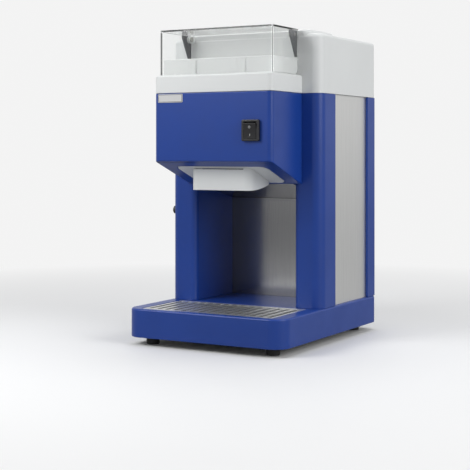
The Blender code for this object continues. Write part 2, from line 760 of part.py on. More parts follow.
def build_bay():
    """One polished sheet: the back of the bowl bay, creased and drawn forward as its ceiling."""
    y0, y1, sheet = BAY_REAR, COLUMN_FRONT + SEAT, LINER_SHEET
    rise = (BAY_MOUTH_Z - BAY_CREASE_Z) / (y0 - y1)
    lift = sheet * math.hypot(1, rise)
    outline = [
        Vector((y0, BASE_TOP + SEAT)), Vector((y0 + sheet, BASE_TOP + SEAT)),
        Vector((y0 + sheet, BAY_CREASE_Z + lift - sheet * rise)), Vector((y1, BAY_MOUTH_Z + lift)),
        Vector((y1, BAY_MOUTH_Z)), Vector((y0, BAY_CREASE_Z)),
    ]
    half = PILLAR_INNER - SEAT
    part(prism("bay_liner", outline, -half, half, "X"), "polished_steel")


def build_head():
    """The head casing with its sloped underside, and the switch in its front."""
    x, wall = HEAD_HALF_WIDTH, CASE_WALL
    front, rear = HEAD_FRONT, COLUMN_FRONT - SEAT
    low = HEAD_REAR_BOTTOM - wall
    head = prism("head_shell", plate(-x, x, front, rear, HEAD_CORNER, 0, steps=6), low, COLUMN_TOP)
    reach = 2 * wall
    below = prism("below_slope", [
        Vector((front - reach, head_underside(front - reach))), Vector((front - reach, low - reach)),
        Vector((rear + reach, low - reach)), Vector((rear + reach, head_underside(rear + reach))),
    ], -x - reach, x + reach, "X")
    inside = prism("head_inside", [
        Vector((front + wall, head_underside(front + wall) + wall)),
        Vector((rear + reach, head_underside(rear + reach) + wall)),
        Vector((rear + reach, COLUMN_TOP + reach)), Vector((front + wall, COLUMN_TOP + reach)),
    ], -x + wall, x - wall, "X")
    opening = plate(-CHUTE_OPEN_HALF, CHUTE_OPEN_HALF, CHUTE_OPEN_FRONT, CHUTE_OPEN_REAR,
                    CHUTE_OPEN_CORNER, CHUTE_OPEN_CORNER)
    hatch = prism("head_hatch", opening, low - reach, HEAD_FRONT_BOTTOM + reach)
    half_w, half_h = SWITCH_WIDTH / 2 - SWITCH_LIP, SWITCH_HEIGHT / 2 - SWITCH_LIP
    switch_hole = box("switch_hole", (SWITCH_X - half_w - SEAT, SWITCH_X + half_w + SEAT),
                      (front - wall, front + 2 * wall),
                      (SWITCH_Z - half_h - SEAT, SWITCH_Z + half_h + SEAT))
    cut(head, below, inside, hatch, switch_hole)
    part(head, "blue_paint")
    build_switch(half_w, half_h)


def build_switch(half_w, half_h):
    """A bezel with a body behind it, and the rocker that tilts in the bezel's recess."""
    front = HEAD_FRONT - SEAT
    wide, high = SWITCH_WIDTH / 2, SWITCH_HEIGHT / 2
    x0, z0 = SWITCH_X, SWITCH_Z
    bezel = box("switch_housing", (x0 - wide, x0 + wide), (front - SWITCH_PROUD, front),
                (z0 - high, z0 + high))
    bevel(bezel, SWITCH_EDGE_ROUND)
    body = box("switch_body", (x0 - half_w, x0 + half_w), (front - SEAT, front + SWITCH_DEPTH),
               (z0 - half_h, z0 + half_h))
    pivot_y = front + SWITCH_PIVOT_DEPTH
    recess_w, recess_h = ROCKER_WIDTH / 2 + SEAT, ROCKER_HEIGHT / 2 + ROCKER_PLAY
    recess = box("rocker_recess", (x0 - recess_w, x0 + recess_w),
                 (front - 2 * SWITCH_PROUD, pivot_y + ROCKER_BACK + RUN),
                 (z0 - recess_h, z0 + recess_h))
    join(bezel, body)
    cut(bezel, recess)
    part(bezel, "black_plastic")

    # The rocker's two faces lie either side of the pivot, and one of them stands proud.
    half, out = ROCKER_HEIGHT / 2, ROCKER_OUT
    outline = [(-out, half), (-out + ROCKER_DISH, 0), (-out, -half), (0, -half),
               (ROCKER_BACK, -half / 2), (ROCKER_BACK, half / 2), (0, half)]
    c, s = math.cos(ROCKER_TILT), math.sin(ROCKER_TILT)
    placed = [Vector((pivot_y + y * c - z * s, z0 + y * s + z * c)) for y, z in outline]
    rocker = prism("switch_rocker", placed, x0 - ROCKER_WIDTH / 2, x0 + ROCKER_WIDTH / 2, "X")
    part(rocker, "dark_plastic", (x0, pivot_y, z0))


def build_outlet():
    """The white panel closing the head's underside, and the spout hanging from it."""
    seat, sheet = SEAT, PLASTIC_WALL
    wall = CASE_WALL
    opening = plate(-CHUTE_OPEN_HALF, CHUTE_OPEN_HALF, CHUTE_OPEN_FRONT, CHUTE_OPEN_REAR,
                    CHUTE_OPEN_CORNER, CHUTE_OPEN_CORNER, seat)
    low, high = HEAD_REAR_BOTTOM - wall, HEAD_FRONT_BOTTOM + 4 * wall
    panel = prism("chute_panel", opening, low, high)
    keep_common(panel, sloped_slab("panel_plug", HEAD_HALF_WIDTH, HEAD_FRONT, COLUMN_FRONT,
                                   0, wall + 2 * seat))
    lip = CHUTE_PANEL_LIP
    flange = sloped_slab("panel_flange", CHUTE_OPEN_HALF + lip, CHUTE_OPEN_FRONT - lip,
                         CHUTE_OPEN_REAR, wall + seat, wall + seat + sheet)
    passage_x = (-PASSAGE_HALF_WIDTH, PASSAGE_HALF_WIDTH)
    passage_y = (PASSAGE_FRONT, PASSAGE_REAR)
    join(panel, flange)
    cut(panel, box("panel_passage", passage_x, passage_y, (low, high)))
    part(panel, "white_plastic")

    x, front, rear = SPOUT_HALF_WIDTH, SPOUT_FRONT, SPOUT_REAR
    outer = plate(-x, x, front, rear, SPOUT_CORNER, SPOUT_REAR_CORNER, steps=6)
    inner = plate(-x, x, front, rear, SPOUT_CORNER, SPOUT_REAR_CORNER, SPOUT_WALL, steps=6)
    spout = prism("outlet_spout", outer, SPOUT_BOTTOM, HEAD_FRONT_BOTTOM, holes=[inner])
    reach = 2 * SPOUT_WALL
    above = sloped_slab("above_spout", x + reach, front - reach, rear + reach,
                        -seat, HEAD_FRONT_BOTTOM - HEAD_REAR_BOTTOM + reach)
    # The lower edge rises from the front to the rear along a shallow curve.
    length = rear - front
    edge = []
    for k in range(SPOUT_EDGE_STEPS + 1):
        share = k / SPOUT_EDGE_STEPS
        edge.append(Vector((front + length * share,
                            SPOUT_BOTTOM + SPOUT_EDGE_RISE * share ** SPOUT_EDGE_POWER)))
    edge += [Vector((rear + reach, edge[-1].y)), Vector((rear + reach, SPOUT_BOTTOM - reach)),
             Vector((front, SPOUT_BOTTOM - reach))]
    cut(spout, above, prism("below_spout", edge, -x - reach, x + reach, "X"))
    part(spout, "white_plastic")


def tapered_block(name, half_low, half_high, y_low, y_high, z0, z1):
    """A block whose sides and front lean outward from the lower height to the upper one."""
    across = [Vector((-half_low, z0)), Vector((half_low, z0)),
              Vector((half_high, z1)), Vector((-half_high, z1))]
    along = [Vector((y_low[0], z0)), Vector((y_low[1], z0)),
             Vector((y_high[1], z1)), Vector((y_high[0], z1))]
    made = prism(name, across, y_high[0] - PLASTIC_WALL, y_high[1] + PLASTIC_WALL, "Y")
    side = prism(name + "_side", along, -half_high - PLASTIC_WALL, half_high + PLASTIC_WALL, "X")
    return keep_common(made, side)


def build_hopper():
    """The white rim flush with the head, its collar, and the funnel down to the drum cover."""
    x, wall = HEAD_HALF_WIDTH, PLASTIC_WALL
    front, rear = HEAD_FRONT, COLUMN_FRONT - SEAT
    bottom = COLUMN_TOP + SEAT
    hopper = prism("hopper", plate(-x, x, front, rear, HEAD_CORNER, 0, steps=6), bottom, BAND_TOP)
    bevel(hopper, HOPPER_EDGE_ROUND)
    pocket = prism("hopper_pocket", plate(-x, x, front, rear, HEAD_CORNER, 0, wall, steps=6),
                   bottom - wall, BAND_TOP - wall)
    collar_x, collar_rear = COLLAR_HALF_WIDTH, rear - COLLAR_REAR_INSET
    collar = prism("collar", plate(-collar_x, collar_x, COLLAR_FRONT, collar_rear,
                                   COLLAR_CORNER, COLLAR_CORNER),
                   BAND_TOP - wall / 2, COLLAR_TOP)
    bevel(collar, COLLAR_EDGE_ROUND)
    pads = []
    for side in (-1, 1):
        pad_x = side * COLLAR_PAD_X
        pads.append(box(f"pad_{side}", (pad_x - COLLAR_PAD_WIDTH / 2, pad_x + COLLAR_PAD_WIDTH / 2),
                        (COLLAR_FRONT - COLLAR_PAD_DEPTH, COLLAR_FRONT + wall / 2),
                        (BAND_TOP - wall / 2, COLLAR_TOP - COLLAR_EDGE_ROUND)))
    funnel_bottom = DRUM_TOP + 2 * SEAT + DRUM_COVER_THICKNESS
    mouth = (COLLAR_FRONT + wall, collar_rear - wall)
    throat = (DRUM_Y - THROAT_RADIUS, THROAT_REAR)
    outer = tapered_block("funnel", THROAT_RADIUS + wall, collar_x - wall / 2,
                          (throat[0] - wall, throat[1] + wall),
                          (mouth[0] - wall / 2, mouth[1] + wall / 2),
                          funnel_bottom, BAND_TOP - wall / 2)
    inner = tapered_block("funnel_inside", THROAT_RADIUS, collar_x - wall,
                          throat, mouth, funnel_bottom - SEAT, BAND_TOP)
    cavity = box("collar_inside", (-collar_x + wall, collar_x - wall), mouth,
                 (BAND_TOP - SEAT, COLLAR_TOP + wall))
    cut(hopper, pocket)
    join(hopper, collar, *pads, outer)
    cut(hopper, inner, cavity)
    part(hopper, "white_plastic")

    # The cover of the drum is open only in front, where the ice falls in.
    cover_z = DRUM_TOP + SEAT
    reach = math.asin((THROAT_REAR - DRUM_Y) / THROAT_RADIUS)
    arc = []
    for k in range(THROAT_ARC_STEPS + 1):
        turn = math.pi - reach + (math.pi + 2 * reach) * k / THROAT_ARC_STEPS
        arc.append(Vector((THROAT_RADIUS * math.cos(turn), DRUM_Y + THROAT_RADIUS * math.sin(turn))))
    cover = prism("drum_cover", circle(0, DRUM_Y, DRUM_RADIUS + DRUM_COVER_LIP, 48), cover_z,
                  cover_z + DRUM_COVER_THICKNESS, holes=[arc])
    part(cover, "white_plastic")


def build_guard():
    """The clear guard over the hopper, with the arms, lugs and pins on which it swings up."""
    x, wall = GUARD_HALF_WIDTH, GUARD_WALL
    pivot = (0, HINGE_Y, HINGE_Z)
    guard = prism("lid_guard", plate(-x, x, GUARD_FRONT, GUARD_REAR, GUARD_CORNER, 0),
                  GUARD_BOTTOM, GUARD_TOP)
    inside = box("guard_inside", (-x + wall, x - wall), (GUARD_FRONT + wall, GUARD_REAR + wall),
                 (GUARD_BOTTOM - wall, GUARD_TOP - GUARD_PLATE))
    heel = GUARD_HEEL_ROUND
    reach = 2 * wall
    corner = [Vector((GUARD_REAR + reach, GUARD_BOTTOM - reach)),
              Vector((GUARD_REAR + reach, GUARD_BOTTOM + heel))]
    for k in range(7):
        turn = -math.pi / 2 * k / 6
        corner.append(Vector((GUARD_REAR - heel + heel * math.cos(turn),
                              GUARD_BOTTOM + heel + heel * math.sin(turn))))
    corner.append(Vector((GUARD_REAR - heel, GUARD_BOTTOM - reach)))
    cut(guard, inside, prism("guard_heel", corner, -x - reach, x + reach, "X"))
    lug_in, lug_out = LUG_X, LUG_X + LUG_THICKNESS
    notch_front = HINGE_Y - LUG_RADIUS - LID_NOTCH_EXTRA
    for side in (-1, 1):
        notch = box(f"lid_notch_{side}", (side * (lug_in - RUN), side * (lug_out + LUG_SIDE_GAP)),
                    (notch_front, GUARD_REAR + wall), (GUARD_TOP - 2 * GUARD_PLATE, GUARD_TOP + wall))
        cut(guard, notch)
    part(guard, "clear_plastic", pivot)

    arm_in = x - wall - SEAT - ARM_THICKNESS
    under = GUARD_TOP - GUARD_PLATE - SEAT
    arm_rear = GUARD_REAR - ARM_BACK
    profile = [Vector((HINGE_Y - ARM_FRONT, under)), Vector((HINGE_Y - ARM_FRONT, under - ARM_EDGE)),
               Vector((arm_rear - ARM_TOE, ARM_BOTTOM)), Vector((arm_rear, ARM_BOTTOM)),
               Vector((arm_rear, under))]
    bore = circle(HINGE_Y, HINGE_Z, HINGE_PIN_RADIUS + PIN_FIT, 24)
    arm = prism("lid_arm_right", profile, arm_in, arm_in + ARM_THICKNESS, "X", holes=[bore])
    mirrored(arm, "lid_arm_left", "dark_plastic", pivot)
    part(arm, "dark_plastic", pivot)

    wall_y = COLUMN_FRONT - SEAT
    ear = [Vector((wall_y, HINGE_Z - LUG_RADIUS))]
    ear.append(Vector((wall_y, HINGE_Z + LUG_RADIUS)))
    for k in range(9):
        turn = math.pi / 2 + math.pi * k / 8
        ear.append(Vector((HINGE_Y + LUG_RADIUS * math.cos(turn),
                           HINGE_Z + LUG_RADIUS * math.sin(turn))))
    lug = prism("hinge_lug_right", ear, lug_in, lug_out, "X", holes=[bore])
    mirrored(lug, "hinge_lug_left", "white_plastic")
    part(lug, "white_plastic")

    head_x = lug_in - SEAT
    radius, head = HINGE_PIN_RADIUS, HINGE_PIN_RADIUS + PIN_HEAD_LIP
    profile = [(0, arm_in + ARM_THICKNESS), (radius, arm_in + ARM_THICKNESS), (radius, head_x),
               (head, head_x), (head, head_x - PIN_HEAD), (0, head_x - PIN_HEAD)]
    pin = turned("hinge_pin_right", profile, (0, HINGE_Y, HINGE_Z), "X", 20)
    mirrored(pin, "hinge_pin_left", "zinc_steel")
    part(pin, "zinc_steel")


def build_rear_cover():
    """The white cover over the motor, with its raised middle, and the lid switch inside it."""
    x, wall = COLUMN_HALF_WIDTH, PLASTIC_WALL
    front, rear = COLUMN_FRONT, COVER_REAR
    bottom = COLUMN_TOP + SEAT
    reach = 4 * wall
    cover = prism("rear_top_cover", plate(-x, x, front, rear, COLUMN_CORNER, COVER_REAR_CORNER,
                                          steps=5), bottom - reach, COVER_TOP)
    bevel(cover, COVER_EDGE_ROUND)
    hump_x = HUMP_HALF_WIDTH
    hump = prism("hump", plate(-hump_x, hump_x, front + HUMP_SET_BACK, HUMP_REAR,
                               HUMP_CORNER, HUMP_CORNER),
                 COVER_TOP - reach, HUMP_TOP)
    bevel(hump, HUMP_EDGE_ROUND)
    skirt = box("below_cover", (-x - reach, x + reach), (front - reach, rear + reach),
                (bottom - 2 * reach, bottom))
    inside = prism("cover_inside", plate(-x, x, front, rear, COLUMN_CORNER, COVER_REAR_CORNER,
                                         wall), bottom - wall, COVER_TOP - COVER_EDGE_ROUND / 2 - wall / 2)
    join(cover, hump)
    cut(cover, skirt, inside)
    part(cover, "white_plastic")

    y = front + wall + SEAT
    z = COVER_TOP - COVER_EDGE_ROUND - LID_SWITCH_SIZE[2]
    switch = box("lid_switch", (LID_SWITCH_X, LID_SWITCH_X + LID_SWITCH_SIZE[0]),
                 (y, y + LID_SWITCH_SIZE[1]), (z, z + LID_SWITCH_SIZE[2]))
    bevel(switch, SHEET / 2, segments=1)
    part(switch, "black_plastic")


def build_drum():
    """The drum the ice turns in, with ribs on its wall and a slot in its floor for the blade."""
    outer, inner = DRUM_RADIUS, DRUM_RADIUS - DRUM_WALL
    floor_top = DRUM_FLOOR_Z + DRUM_FLOOR
    eye = SHAFT_EYE_RADIUS
    profile = [(inner, DRUM_TOP), (outer, DRUM_TOP), (outer, DRUM_FLOOR_Z), (eye, DRUM_FLOOR_Z),
               (eye, floor_top), (inner, floor_top)]
    drum = turned("ice_drum", profile, (0, DRUM_Y, 0), sides=48)
    ribs = []
    for k in range(DRUM_RIBS):
        rib = box(f"drum_rib_{k}", (inner - DRUM_RIB_HEIGHT, inner + DRUM_WALL / 2),
                  (-DRUM_RIB_WIDTH / 2, DRUM_RIB_WIDTH / 2),
                  (floor_top - DRUM_FLOOR / 2, DRUM_TOP - DRUM_RIB_WIDTH))
        turn = math.pi * (2 * k + 1) / DRUM_RIBS
        rib.matrix_world = Matrix.Translation((0, DRUM_Y, 0)) @ Matrix.Rotation(turn, 4, "Z")
        ribs.append(rib)
    join(drum, *ribs)
    cut(drum, box("blade_slot", (-BLADE_HALF - RUN, BLADE_HALF + RUN), (SLOT_FRONT, SLOT_REAR),
                  (DRUM_FLOOR_Z - DRUM_FLOOR, floor_top + DRUM_FLOOR)))
    part(drum, "white_plastic")

    seal_profile = [(DRIVE_SHAFT_RADIUS + SEAT, floor_top), (eye - SEAT, floor_top),
                    (eye - SEAT, DRUM_FLOOR_Z), (DRIVE_SHAFT_RADIUS + SEAT, DRUM_FLOOR_Z)]
    part(turned("shaft_seal", seal_profile, (0, DRUM_Y, 0), sides=24), "rubber")


def build_deck():
    """The deck plate that carries drum and motor on the walls of the bay."""
    wide, neck = DECK_HALF_WIDTH, PILLAR_INNER - RUN
    step = COLUMN_FRONT + PILLAR_WALL + RUN + SHEET
    corner = DECK_CORNER
    outline = rounded([
        (-neck, DECK_FRONT, corner), (neck, DECK_FRONT, corner), (neck, step, 0),
        (wide, step, corner / 2), (wide, DECK_REAR, corner), (-wide, DECK_REAR, corner),
        (-wide, step, corner / 2), (-neck, step, 0),
    ])
    carrier = CARRIER_HALF + RUN
    holes = [
        plate(-carrier, carrier, PASSAGE_FRONT, CARRIER_REAR + RUN, corner / 2, corner / 2, steps=2),
        circle(0, DRUM_Y, SHAFT_EYE_RADIUS + RUN, 24),
        circle(0, MOTOR_Y, MOTOR_SHAFT_RADIUS + 3 * RUN, 24),
    ]
    part(prism("deck_plate", outline, DECK_BOTTOM, DECK_TOP, holes=holes), "zinc_steel")


def build_impeller():
    """Hub and curved paddles that drive the ice round over the blade."""
    bottom = DRUM_FLOOR_Z + DRUM_FLOOR + RUN
    top, radius = PADDLE_TOP, HUB_RADIUS
    bore, bore_top = DRIVE_SHAFT_RADIUS + SEAT, DRIVE_SHAFT_TOP + SEAT
    nose = HUB_NOSE
    profile = [(radius * across, top + nose * up) for across, up in HUB_NOSE_CURVE]
    profile += [(radius, top), (radius, bottom), (bore, bottom), (bore, bore_top), (0, bore_top)]
    hub = turned("impeller", profile, (0, DRUM_Y, 0), sides=32)
    for n in range(PADDLE_COUNT):
        near, far = [], []
        for k in range(PADDLE_STEPS + 1):
            share = k / PADDLE_STEPS
            reach = PADDLE_ROOT + (PADDLE_REACH - PADDLE_ROOT) * share
            turn = 2 * math.pi * n / PADDLE_COUNT + PADDLE_SWEEP * share ** 2
            half = PADDLE_THICKNESS / 2 * (1 - PADDLE_TAPER * share)
            place = Vector((reach * math.cos(turn), DRUM_Y + reach * math.sin(turn)))
            lean = turn + math.atan(2 * PADDLE_SWEEP * share * reach / PADDLE_REACH)
            side = Vector((-math.sin(lean), math.cos(lean))) * half
            near.append(place - side)
            far.append(place + side)
        join(hub, prism(f"paddle_{n}", near + far[::-1], bottom, top))
    part(hub, "brushed_steel", (0, DRUM_Y, 0))


def build_spindle():
    """Drive shaft, its bearing in the housing under the deck, and the large pulley."""
    r = DRIVE_SHAFT_RADIUS
    axis = (0, DRUM_Y, 0)
    low, high = DRIVE_SHAFT_BOTTOM, DRIVE_SHAFT_TOP
    chamfer = r / 5
    profile = [(0, high), (r - chamfer, high), (r, high - chamfer), (r, low + chamfer),
               (r - chamfer, low), (0, low)]
    part(turned("drive_shaft", profile, axis, sides=24), "zinc_steel", axis)

    top = DECK_BOTTOM - SEAT
    bearing_top = top - PILLAR_WALL
    bearing_low = bearing_top - BEARING_WIDTH
    outer, tube = BEARING_HOUSING_RADIUS, BEARING_RADIUS + BEARING_HOUSING_WALL
    lip = BEARING_RADIUS - BEARING_HOUSING_WALL
    bottom = bearing_low - SEAT - CASE_WALL / 2
    profile = [(BEARING_RADIUS + SEAT, top), (outer, top), (outer, top - CASE_WALL),
               (tube, top - CASE_WALL - CASE_WALL), (tube, bottom), (lip, bottom),
               (lip, bearing_low - SEAT), (BEARING_RADIUS + SEAT, bearing_low - SEAT)]
    part(turned("bearing_housing", profile, axis, sides=32), "cast_metal")
    profile = [(r + SEAT, bearing_top), (BEARING_RADIUS, bearing_top),
               (BEARING_RADIUS, bearing_low), (r + SEAT, bearing_low)]
    part(turned("spindle_bearing", profile, axis, sides=28), "brushed_steel")
    pulley("large_pulley", LARGE_PULLEY_RADIUS, r + SEAT, DRUM_Y)


def pulley(name, radius, bore, y):
    """A pulley with a flat groove for the belt."""
    half, groove = PULLEY_HEIGHT / 2, BELT_WIDTH / 2 + RUN / 2
    deep = radius - BELT_THICKNESS
    z = PULLEY_Z
    profile = [(bore, z + half), (radius, z + half), (radius, z + groove), (deep, z + groove),
               (deep, z - groove), (radius, z - groove), (radius, z - half), (bore, z - half)]
    part(turned(name, profile, (0, y, 0), sides=36), "cast_metal", (0, y, 0))


def belt_loop(large, small, steps=14):
    """The outline of a belt round both pulleys, for the radii of one of its faces."""
    lean = math.asin((large - small) / (MOTOR_Y - DRUM_Y))
    points = []
    for k in range(steps + 1):
        turn = math.pi - lean + (math.pi + 2 * lean) * k / steps
        points.append(Vector((large * math.cos(turn), DRUM_Y + large * math.sin(turn))))
    for k in range(steps + 1):
        turn = lean + (math.pi - 2 * lean) * k / steps
        points.append(Vector((small * math.cos(turn), MOTOR_Y + small * math.sin(turn))))
    return points


def build_motor():
    """Upright motor on the deck: end bells, body, rotor, fan, shaft, pulley and belt."""
    large, small = LARGE_PULLEY_RADIUS - BELT_THICKNESS, MOTOR_PULLEY_RADIUS - BELT_THICKNESS
    slack = SEAT
    inside = belt_loop(large + slack, small + slack)
    outside = belt_loop(large + slack + BELT_THICKNESS, small + slack + BELT_THICKNESS)
    belt = prism("drive_belt", outside, PULLEY_Z - BELT_WIDTH / 2, PULLEY_Z + BELT_WIDTH / 2,
                 holes=[inside])
    part(belt, "rubber")

    axis = (0, MOTOR_Y, 0)
    shaft, play = MOTOR_SHAFT_RADIUS, SEAT
    bell = MOTOR_BELL_HEIGHT
    low = DECK_TOP + SEAT
    body_low, body_top = low + bell + SEAT, MOTOR_TOP - bell - SEAT
    edge = bell / 4
    r = MOTOR_RADIUS
    bell_profile = [(shaft + play, low + bell), (r, low + bell), (r, low + edge), (r - edge, low),
                    (shaft + play, low)]
    part(turned("motor_lower_bell", bell_profile, axis, sides=36), "cast_metal")
    can = r - MOTOR_CAN_INSET
    stator = MOTOR_ROTOR_RADIUS + RUN
    body_profile = [(stator, body_top), (can, body_top), (can, body_low), (stator, body_low)]
    part(turned("motor_body", body_profile, axis, sides=36), "dark_metal")
    upper_profile = [(shaft + play, MOTOR_TOP), (r - 2 * edge, MOTOR_TOP), (r, MOTOR_TOP - 2 * edge),
                     (r, MOTOR_TOP - bell), (shaft + play, MOTOR_TOP - bell)]
    part(turned("motor_upper_bell", upper_profile, axis, sides=36), "cast_metal")

    rotor_profile = [(shaft + play, body_top - bell), (MOTOR_ROTOR_RADIUS, body_top - bell),
                     (MOTOR_ROTOR_RADIUS, body_low + bell), (shaft + play, body_low + bell)]
    part(turned("motor_rotor", rotor_profile, axis, sides=28), "dark_metal", axis)
    part(rod("motor_shaft", shaft, (0, MOTOR_Y), MOTOR_SHAFT_BOTTOM, MOTOR_SHAFT_TOP, sides=20),
         "zinc_steel", axis)
    pulley("motor_pulley", MOTOR_PULLEY_RADIUS, shaft + play, MOTOR_Y)

    fan_low = MOTOR_TOP + 2 * RUN
    fan_top = fan_low + FAN_HEIGHT
    hub = FAN_HUB_RADIUS
    hub_profile = [(shaft + play, fan_top), (hub, fan_top), (hub, fan_low), (shaft + play, fan_low)]
    fan = turned("motor_fan", hub_profile, axis, sides=24)
    for k in range(FAN_BLADES):
        blade = box(f"fan_blade_{k}", (FAN_BLADE_ROOT, FAN_RADIUS), (-FAN_BLADE / 2, FAN_BLADE / 2),
                    (fan_low + SEAT, fan_top - SEAT))
        turn = 2 * math.pi * k / FAN_BLADES
        blade.matrix_world = Matrix.Translation(axis) @ Matrix.Rotation(turn, 4, "Z")
        join(fan, blade)
    part(fan, "dark_plastic", axis)


def build_blade():
    """Blade, its carrier under the deck, the clamp bar, and the screw that sets its height."""
    lean = BLADE_LEAN
    edge_y, edge_z = BLADE_EDGE_Y, DRUM_FLOOR_Z + DRUM_FLOOR + BLADE_PROUD
    back = Vector((math.cos(lean), -math.sin(lean)))
    up = Vector((math.sin(lean), math.cos(lean)))
    tip = Vector((edge_y, edge_z))
    thick, length = BLADE_THICKNESS, BLADE_LENGTH
    bevel_back = thick / math.tan(math.radians(35))
    blade = prism("blade", [tip, tip + back * length, tip + back * length - up * thick,
                            tip + back * bevel_back - up * thick],
                  -BLADE_HALF, BLADE_HALF, "X")
    origin = (0, CARRIER_REAR, CARRIER_BOTTOM)
    part(blade, "polished_steel", origin)

    def under(y):
        """Height of the seat under the blade."""
        return edge_z - (y - edge_y) * math.tan(lean) - (thick + SEAT) / math.cos(lean)

    top = DRUM_FLOOR_Z - RUN
    seat_front = CARRIER_FRONT
    profile = [Vector((seat_front, CARRIER_BOTTOM)), Vector((CARRIER_REAR, CARRIER_BOTTOM)),
               Vector((CARRIER_REAR, under(CARRIER_REAR))), Vector((seat_front, under(seat_front)))]
    if profile[3].y > top:
        crossing = edge_y + (edge_z - (thick + SEAT) / math.cos(lean) - top) / math.tan(lean)
        profile[3:] = [Vector((crossing, top)), Vector((seat_front, top))]
    holder = prism("blade_holder", profile, -CARRIER_HALF, CARRIER_HALF, "X")
    part(holder, "cast_metal", origin)

    seat = tip + back * CLAMP_START + up * SEAT
    bar = [seat, seat + back * CLAMP_WIDTH, seat + back * CLAMP_WIDTH + up * CLAMP_HEIGHT,
           seat + up * CLAMP_HEIGHT]
    part(prism("blade_clamp", bar, -BLADE_HALF, BLADE_HALF, "X"), "brushed_steel", origin)

    screw_y = (CARRIER_FRONT + CARRIER_REAR) / 2
    r, knurl = ADJUST_SCREW_RADIUS, ADJUST_KNOB_RADIUS
    top = CARRIER_BOTTOM - BLADE_TRAVEL - SEAT
    shoulder = top - ADJUST_SHANK
    bottom = shoulder - ADJUST_KNOB
    profile = [(0, top), (r, top), (r, shoulder), (knurl, shoulder), (knurl, bottom), (0, bottom)]
    screw = turned("adjust_screw", profile, (ADJUST_X, screw_y, 0), sides=20)
    part(screw, "zinc_steel", (ADJUST_X, screw_y, 0))

    arm_z = shoulder + SEAT
    half = knurl + RUN
    outer = CARRIER_HALF + 2 * RUN
    step = PILLAR_WALL
    profile = [Vector((ADJUST_X - half, arm_z)), Vector((outer + step, arm_z)),
               Vector((outer + step, DECK_BOTTOM - SEAT)), Vector((outer, DECK_BOTTOM - SEAT)),
               Vector((outer, arm_z + step)), Vector((ADJUST_X - half, arm_z + step))]
    bracket = prism("adjust_bracket", profile, screw_y - half, screw_y + half, "Y")
    cut(bracket, rod("screw_hole", r + PIN_FIT, (ADJUST_X, screw_y), bottom, top, sides=20))
    part(bracket, "zinc_steel")


def build_electrics():
    """Capacitor in its clamp and terminal block, both on the base, and the thumb screw."""
    floor = BASE_TOP + SEAT
    x, y = CAPACITOR_PLACE
    r, wall = CAPACITOR_RADIUS, PILLAR_WALL
    cup = [(0, floor + wall), (r + SEAT, floor + wall), (r + SEAT, floor + CLAMP_CUP),
           (r + SEAT + wall, floor + CLAMP_CUP), (r + SEAT + wall, floor), (0, floor)]
    part(turned("capacitor_clamp", cup, (x, y, 0), sides=28), "dark_plastic")
    low, high = floor + wall + SEAT, floor + wall + SEAT + CAPACITOR_LENGTH
    edge = CAPACITOR_EDGE
    profile = [(0, high), (r - edge, high), (r, high - edge), (r, low), (0, low)]
    part(turned("capacitor", profile, (x, y, 0), sides=28), "brushed_steel")

    bx, by = TERMINAL_PLACE
    long, deep, high = TERMINAL_SIZE
    block = box("terminal_block", (bx - long / 2, bx + long / 2), (by - deep / 2, by + deep / 2),
                (floor, floor + high))
    for k in range(TERMINAL_WAYS - 1):
        nx = bx - long / 2 + long * (k + 1) / TERMINAL_WAYS
        cut(block, box(f"terminal_gap_{k}", (nx - wall / 2, nx + wall / 2),
                       (by - deep, by + deep), (floor + high / 2, floor + 2 * high)))
    part(block, "white_plastic")

    face = COLUMN_HALF_WIDTH + SEAT
    out, r, grip = face + KNOB_PROUD, KNOB_SHANK_RADIUS, KNOB_RADIUS
    inner_end = COLUMN_HALF_WIDTH - KNOB_SHANK
    edge = KNOB_EDGE
    profile = [(0, out), (grip - edge, out), (grip, out - edge), (grip, face), (r, face),
               (r, inner_end), (0, inner_end)]
    knob = turned("side_thumb_screw", [(pr, px) for pr, px in profile], (0, KNOB_Y, KNOB_Z), "X", 20)
    apply_all(knob)
    knob.data.transform(Matrix.Diagonal((-1, 1, 1, 1)))
    knob.data.flip_normals()
    part(knob, "black_plastic")


def main():
    build_feet()
    build_base()
    build_pillars()
    build_rear_frame()
    build_bay()
    build_head()
    build_outlet()
    build_hopper()
    build_guard()
    build_rear_cover()
    build_drum()
    build_deck()
    build_impeller()
    build_spindle()
    build_motor()
    build_blade()
    build_electrics()


main()
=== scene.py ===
"""The looks of an electric ice shaver: its painted casing, plastic hopper, clear guard and fittings."""

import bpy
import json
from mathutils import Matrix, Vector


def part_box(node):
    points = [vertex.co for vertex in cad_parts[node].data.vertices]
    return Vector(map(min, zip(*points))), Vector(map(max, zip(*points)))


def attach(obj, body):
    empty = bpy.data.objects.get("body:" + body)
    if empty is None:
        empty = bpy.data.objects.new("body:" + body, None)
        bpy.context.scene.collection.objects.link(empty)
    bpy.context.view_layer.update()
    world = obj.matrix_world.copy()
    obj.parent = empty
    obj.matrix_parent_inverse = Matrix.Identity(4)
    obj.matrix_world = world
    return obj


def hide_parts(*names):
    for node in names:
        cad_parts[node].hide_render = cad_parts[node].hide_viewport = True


bl_info = {
    "name": "Ice Shaver",
    "version": (1, 0, 0),
    "blender": (4, 5, 0),
    "location": "View3D > Sidebar > Ice Shaver",
    "description": "Models the casing, hopper, guard and fittings of an electric ice shaver",
    "category": "Add Mesh",
}

